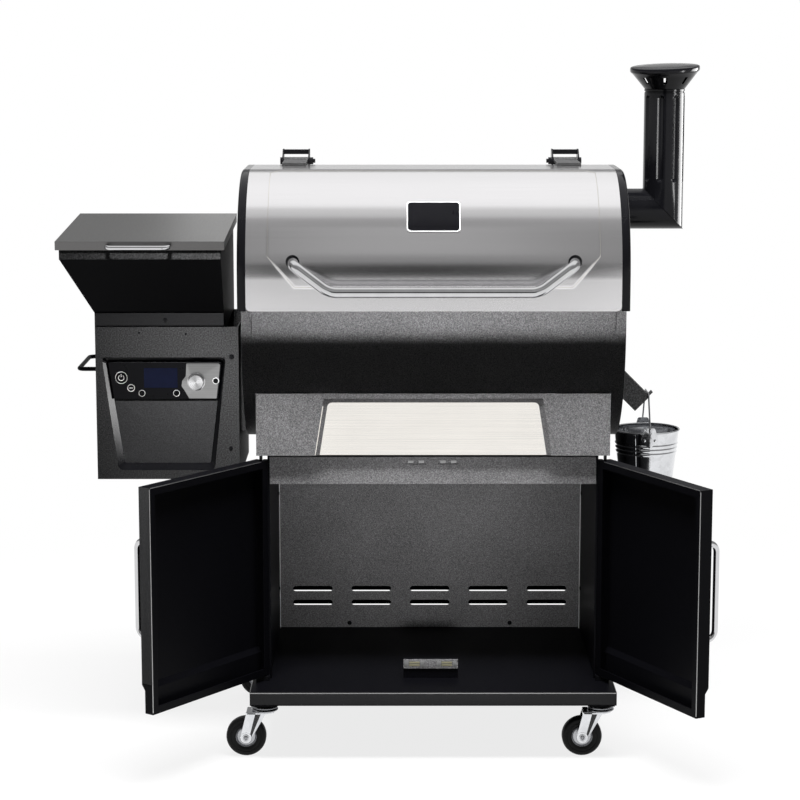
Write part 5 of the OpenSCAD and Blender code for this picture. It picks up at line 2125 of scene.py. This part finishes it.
    def build(self) -> None:
        """Makes the controller's fine pieces and dresses the hopper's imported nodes."""
        for node, (coat, edge) in self.finishes.items():
            dress(node, coat, edge)
        floor, strip, lip, silver = self.trim()
        face = lathe(self.knob_face, (self.knob[0], 0, self.knob[1]), Axis.Y, 72)
        piece("recess_bezel", [self.bezel()], Coat.ENAMEL, "cart")
        piece("recess_floor", [floor], Coat.RECESS, "cart")
        piece("bin_strip", [strip], Coat.PANEL, "cart")
        # the bin's lip band keeps the hopper's powder over the bin, whose near-black coat is painted shade
        piece("bin_lip", [lip], Coat.HOPPER_POWDER, "cart")
        piece("controller_silver", [silver], Coat.SILVER, "cart")
        piece("controller_rings", self.rings(), Coat.MARK, "cart")
        piece("power_cap", [self.key(self.power, self.power_r)], Coat.PLASTIC, "power_key", "power_button")
        piece("power_sign", self.power_sign(), Coat.MARK, "power_key")
        piece("set_cap", [self.key(self.set_key, self.set_r)], Coat.PLASTIC, "set_key", "set_button")
        piece("set_sign", self.set_sign(), Coat.MARK, "set_key")
        piece("knob_skirt", [self.skirt()], Coat.CHROME, "knob", "control_knob")
        piece("knob_face", [face], Coat.SPUN, "knob")
        piece("hopper_screws", screws(self.screw_rows), Coat.SCREW, "cart")


@dataclass
class Viewpoint:
    """The camera at the photograph's height and distance, turned down on the grill."""

    place_mm: tuple = (-69.5, -4279.3, 1366.5)
    down_deg: float = 9.265
    left_deg: float = -0.108
    lens_mm: float = 105.14
    sensor_mm: float = 36.0
    reach_m: float = 100.0

    def build(self) -> None:
        """Makes the camera and hands it to the scene."""
        data = bpy.data.cameras.new("viewpoint")
        data.lens, data.sensor_width = self.lens_mm, self.sensor_mm
        data.clip_end = self.reach_m
        camera = bpy.data.objects.new("viewpoint", data)
        bpy.context.scene.collection.objects.link(camera)
        camera.location = to_frame(np.array(self.place_mm))
        camera.rotation_euler = (math.radians(90 - self.down_deg), 0, math.radians(self.left_deg))
        bpy.context.scene.camera = camera


def hang(name: str, data: bpy.types.Light, place: tuple, aim: tuple) -> bpy.types.Object:
    """Puts a light at a place and turns it to its aim.

    Args:
        name: the light's name.
        data: the light.
        place: where it hangs, in metres from the datum.
        aim: what it faces, in metres from the datum.

    Returns:
        The light's object.
    """
    lamp = bpy.data.objects.new(name, data)
    bpy.context.scene.collection.objects.link(lamp)
    start, end = (to_frame(np.array(p) / MM) for p in (place, aim))
    lamp.location = start
    lamp.rotation_euler = Vector(end - start).to_track_quat("-Z", "Y").to_euler()
    return lamp


def light_only(lamp: bpy.types.Object, pieces: Sequence[str], spare: bool = False) -> bpy.types.Collection:
    """Makes a light fall on the named pieces alone, or on all but them.

    Args:
        lamp: the light.
        pieces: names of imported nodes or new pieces.
        spare: whether the named pieces are left out, instead of lit alone.

    Returns:
        The collection of those pieces.
    """
    named = bpy.data.collections.new(lamp.name)
    for name in pieces:
        named.objects.link(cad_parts.get(name) or bpy.data.objects[name])
    for link in named.collection_objects:
        link.light_linking.link_state = "EXCLUDE" if spare else "INCLUDE"
    lamp.light_linking.receiver_collection = named
    return named


@dataclass(frozen=True)
class Lamp:
    """A soft rectangular lamp: place and aim in metres from the datum, size in metres and power in watts."""

    name: str
    place: tuple
    aim: tuple
    size: tuple
    power: float
    in_metal: bool = True
    pieces: tuple = ()
    spared: tuple = ()
    own_shade: bool = False
    spread_deg: float = 180.0

    def build(self) -> None:
        """Makes the lamp, facing its aim, and keeps it to its pieces, or off those it spares."""
        data = bpy.data.lights.new(self.name, "AREA")
        data.shape = "RECTANGLE"
        data.size, data.size_y = self.size
        data.energy = self.power
        data.spread = math.radians(self.spread_deg)
        lamp = hang(self.name, data, self.place, self.aim)
        lamp.visible_glossy = self.in_metal
        if self.spared:
            light_only(lamp, self.spared, spare=True)
        if self.pieces:
            lit = light_only(lamp, self.pieces)
            if self.own_shade:
                lamp.light_linking.blocker_collection = lit


@dataclass(frozen=True)
class Beam:
    """A soft-edged spot that fills a shaded part of the grill and lights its named pieces alone."""

    name: str
    place: tuple
    aim: tuple
    half_deg: float
    power: float
    pieces: tuple
    blend: float = 0.6
    radius: float = 0.25

    def build(self) -> None:
        """Makes the spot, facing its aim and left out of reflections."""
        data = bpy.data.lights.new(self.name, "SPOT")
        data.spot_size = math.radians(2 * self.half_deg)
        data.spot_blend = self.blend
        data.shadow_soft_size = self.radius
        data.energy = self.power
        lamp = hang(self.name, data, self.place, self.aim)
        lamp.visible_glossy = False
        light_only(lamp, self.pieces)


@dataclass(frozen=True)
class Flag:
    """A dark card that shows in metal alone: two edges along x, each a place in y and z, and half a width."""

    name: str
    first: tuple
    second: tuple
    half: float

    def build(self) -> None:
        """Makes the card: a flat sheet between its two edges, hidden from all but glossy rays."""
        x, share = np.meshgrid(np.linspace(-self.half, self.half, 5), np.linspace(0, 1, 5), indexing="ij")
        y, z = (a + (b - a) * share for a, b in zip(self.first, self.second))
        card = to_object(self.name, [Loft(np.stack([x, y, z], -1), round=False)])
        SHOP.paint(card, Coat.TYRE)
        card.visible_camera = card.visible_diffuse = card.visible_transmission = card.visible_shadow = False


CABINET = ("left_wall", "right_wall", "back_panel", "header_rail", "fascia", "fascia_plate", "magnet_catches",
           "shelf_apron", "wall_bead_highlights", "window_frame", "catch_bars", "catch_pads", "catch_magnets",
           "cart_screws")
HOPPER = ("hopper_front", "hopper_housing", "controller_plate", "controller_silver", "controller_rings",
          "recess_floor", "bin_strip", "bin_lip", "probe_jacks", "power_cap", "power_sign", "set_cap",
          "set_sign", "knob_skirt", "knob_face", "hopper_screws")
BARREL = ("barrel_skin", "barrel_shell", "barrel_left_end", "barrel_right_end")
CHIMNEY = ("chimney_tube", "cap_cone")
GLINTS = (*CHIMNEY, "recess_bezel", "pail_wire")
LEFT_SIDE = ("left_wall", "barrel_left_end", "hopper_housing", "hopper_bin", "left_door")
RIGHT_SIDE = ("right_wall", "barrel_right_end", "right_door")


@dataclass
class Studio:
    """Pale floor, soft lamps and a bright surround that also shows in the metal.

    The sky's rows are a share of the way from straight down to straight up, and a grey.
    """

    floor_half: float = 9000.0
    floor_z: float = -0.5
    floor_tones: tuple = ((0.0, 0.006), (1.0, 0.82))
    floor_fade: dict = field(default_factory=lambda: {
        "From_Min": 0.5, "From_Max": 2.2, "To_Min": 0.82, "To_Max": 1.0})
    soft_level: float = 0.035
    sky: tuple = ((0.0, 1.0), (0.52, 1.0), (0.59, 0.27), (0.85, 0.27), (0.95, 0.34), (1.0, 0.34))
    rig: tuple = (
        Lamp("overhead", (0.0, 1.65, 3.05), (0.0, 1.65, 0.8), (4.4, 5.1), 21.0),
        Lamp("overhead_core", (0.0, 1.925, 3.04), (0.0, 1.925, 0.8), (4.4, 4.55), 25.5),
        Lamp("front_card", (0.0, -3.5, 4.1), (0.0, 0.0, 4.1), (0.9, 3.6), 1.5),
        Lamp("key", (0.0, -1.1, 3.7), (0.0, 0.0, 0.8), (2.6, 0.8), 290.0, False, spared=BARREL + HOPPER),
        Lamp("barrel_key", (0.0, -0.1135, 2.0), (0.0, -0.06, 0.8), (0.8, 0.137), 16.0, False, BARREL[:1],
             own_shade=True, spread_deg=28.0),
        Lamp("left_wash", (-3.6, 0.5, 1.6), (-0.4, 0.2, 0.7), (1.8, 1.8), 60.0, pieces=LEFT_SIDE),
        Lamp("right_wash", (3.6, 0.5, 1.6), (0.4, 0.2, 0.7), (1.8, 1.8), 60.0, pieces=RIGHT_SIDE),
        Lamp("right_strip", (2.6, -1.1, 0.66), (0.0, 0.0, 0.66), (0.45, 1.3), 46.0, pieces=GLINTS),
        Lamp("rear_strip", (3.0, 1.35, 1.0), (0.457, 0.33, 1.1), (1.7, 1.4), 130.0, pieces=CHIMNEY),
        Lamp("rear_card", (-0.05, 4.0, 1.8), (-0.05, 0.0, 1.2), (1.6, 1.2), 4.5, pieces=("hopper_lid",)),
        Beam("cabinet_fill", (0.0, -3.6, 0.55), (0.0, 0.3, 0.48), 6.3, 290.0, CABINET),
        Beam("hopper_fill", (-0.4, -2.0, 2.8), (-0.36, 0.0, 0.81), 5.2, 1150.0, HOPPER, blend=1.0),
        Flag("front_flag", (-4700.0, 430.0), (-4700.0, 1850.0), 850.0),
    )

    def surround(self) -> None:
        """Makes the world: bright low down and overhead with a grey band between, dimmer for soft light."""
        world = bpy.data.worlds.new("surround")
        bpy.context.scene.world = world
        world.use_nodes = True
        graph = Graph(world.node_tree)
        place = graph.add("ShaderNodeTexCoord").outputs["Generated"]
        rise = graph.gain(graph.axes(place)[2], 0.5, 0.5)
        soft = graph.add("ShaderNodeBackground", Color=WHITE, Strength=self.soft_level)
        shown = graph.add("ShaderNodeBackground", Color=graph.ramp(rise, *self.sky), Strength=1.0)
        graph.add("ShaderNodeOutputWorld", Surface=graph.mixed(graph.seen(), soft, shown))

    def floor(self) -> None:
        """Makes the floor: a wide sheet that is near white to the eye and keeps a pale shadow."""
        side = np.linspace(-self.floor_half, self.floor_half, 9)
        x, y = np.meshgrid(side, side, indexing="ij")
        sheet = to_object("floor", [Loft(np.stack([x, y, np.full_like(x, self.floor_z)], -1), round=False)])
        material = bpy.data.materials.new("floor")
        material.use_nodes = True
        graph = Graph(material.node_tree)
        seen = graph.seen()
        far = graph.nodes.new("ShaderNodeVectorMath")
        far.operation = "LENGTH"
        graph.put(far.inputs[0], graph.add("ShaderNodeTexCoord").outputs["Object"])
        fade = graph.add("ShaderNodeMapRange", Value=far.outputs["Value"], **self.floor_fade)
        matt = graph.add("ShaderNodeBsdfDiffuse", Color=graph.ramp(seen, *self.floor_tones))
        bright = graph.add("ShaderNodeEmission", Color=WHITE, Strength=1.0)
        share = graph.sums("MULTIPLY", fade.outputs[0], seen)
        graph.add("ShaderNodeOutputMaterial", Surface=graph.mixed(share, matt, bright))
        sheet.data.materials.append(material)

    def build(self) -> None:
        """Makes the floor, the surround, the lamps and the dark card."""
        self.floor()
        self.surround()
        for fixture in self.rig:
            fixture.build()
        bpy.context.scene.view_settings.view_transform = "Standard"


CASTER_PLACES = {"front_left": (-315, -45), "front_right": (315, -45), "rear_left": (-315, 350),
                 "rear_right": (315, 350)}


def main() -> None:
    """Builds the grill's pieces in order, then the studio and the camera."""
    logging.basicConfig(level=logging.INFO, format="%(name)s: %(message)s")
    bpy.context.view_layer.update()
    assemblies = [Cart(), Doors(), Barrel(), Lid(), Chimney(), GreaseLine(), Hopper()]
    assemblies += [Caster(name, x, y) for name, (x, y) in CASTER_PLACES.items()]
    assemblies += [Studio(), Viewpoint()]
    for assembly in assemblies:
        assembly.build()


if __name__ == "__main__":
    main()
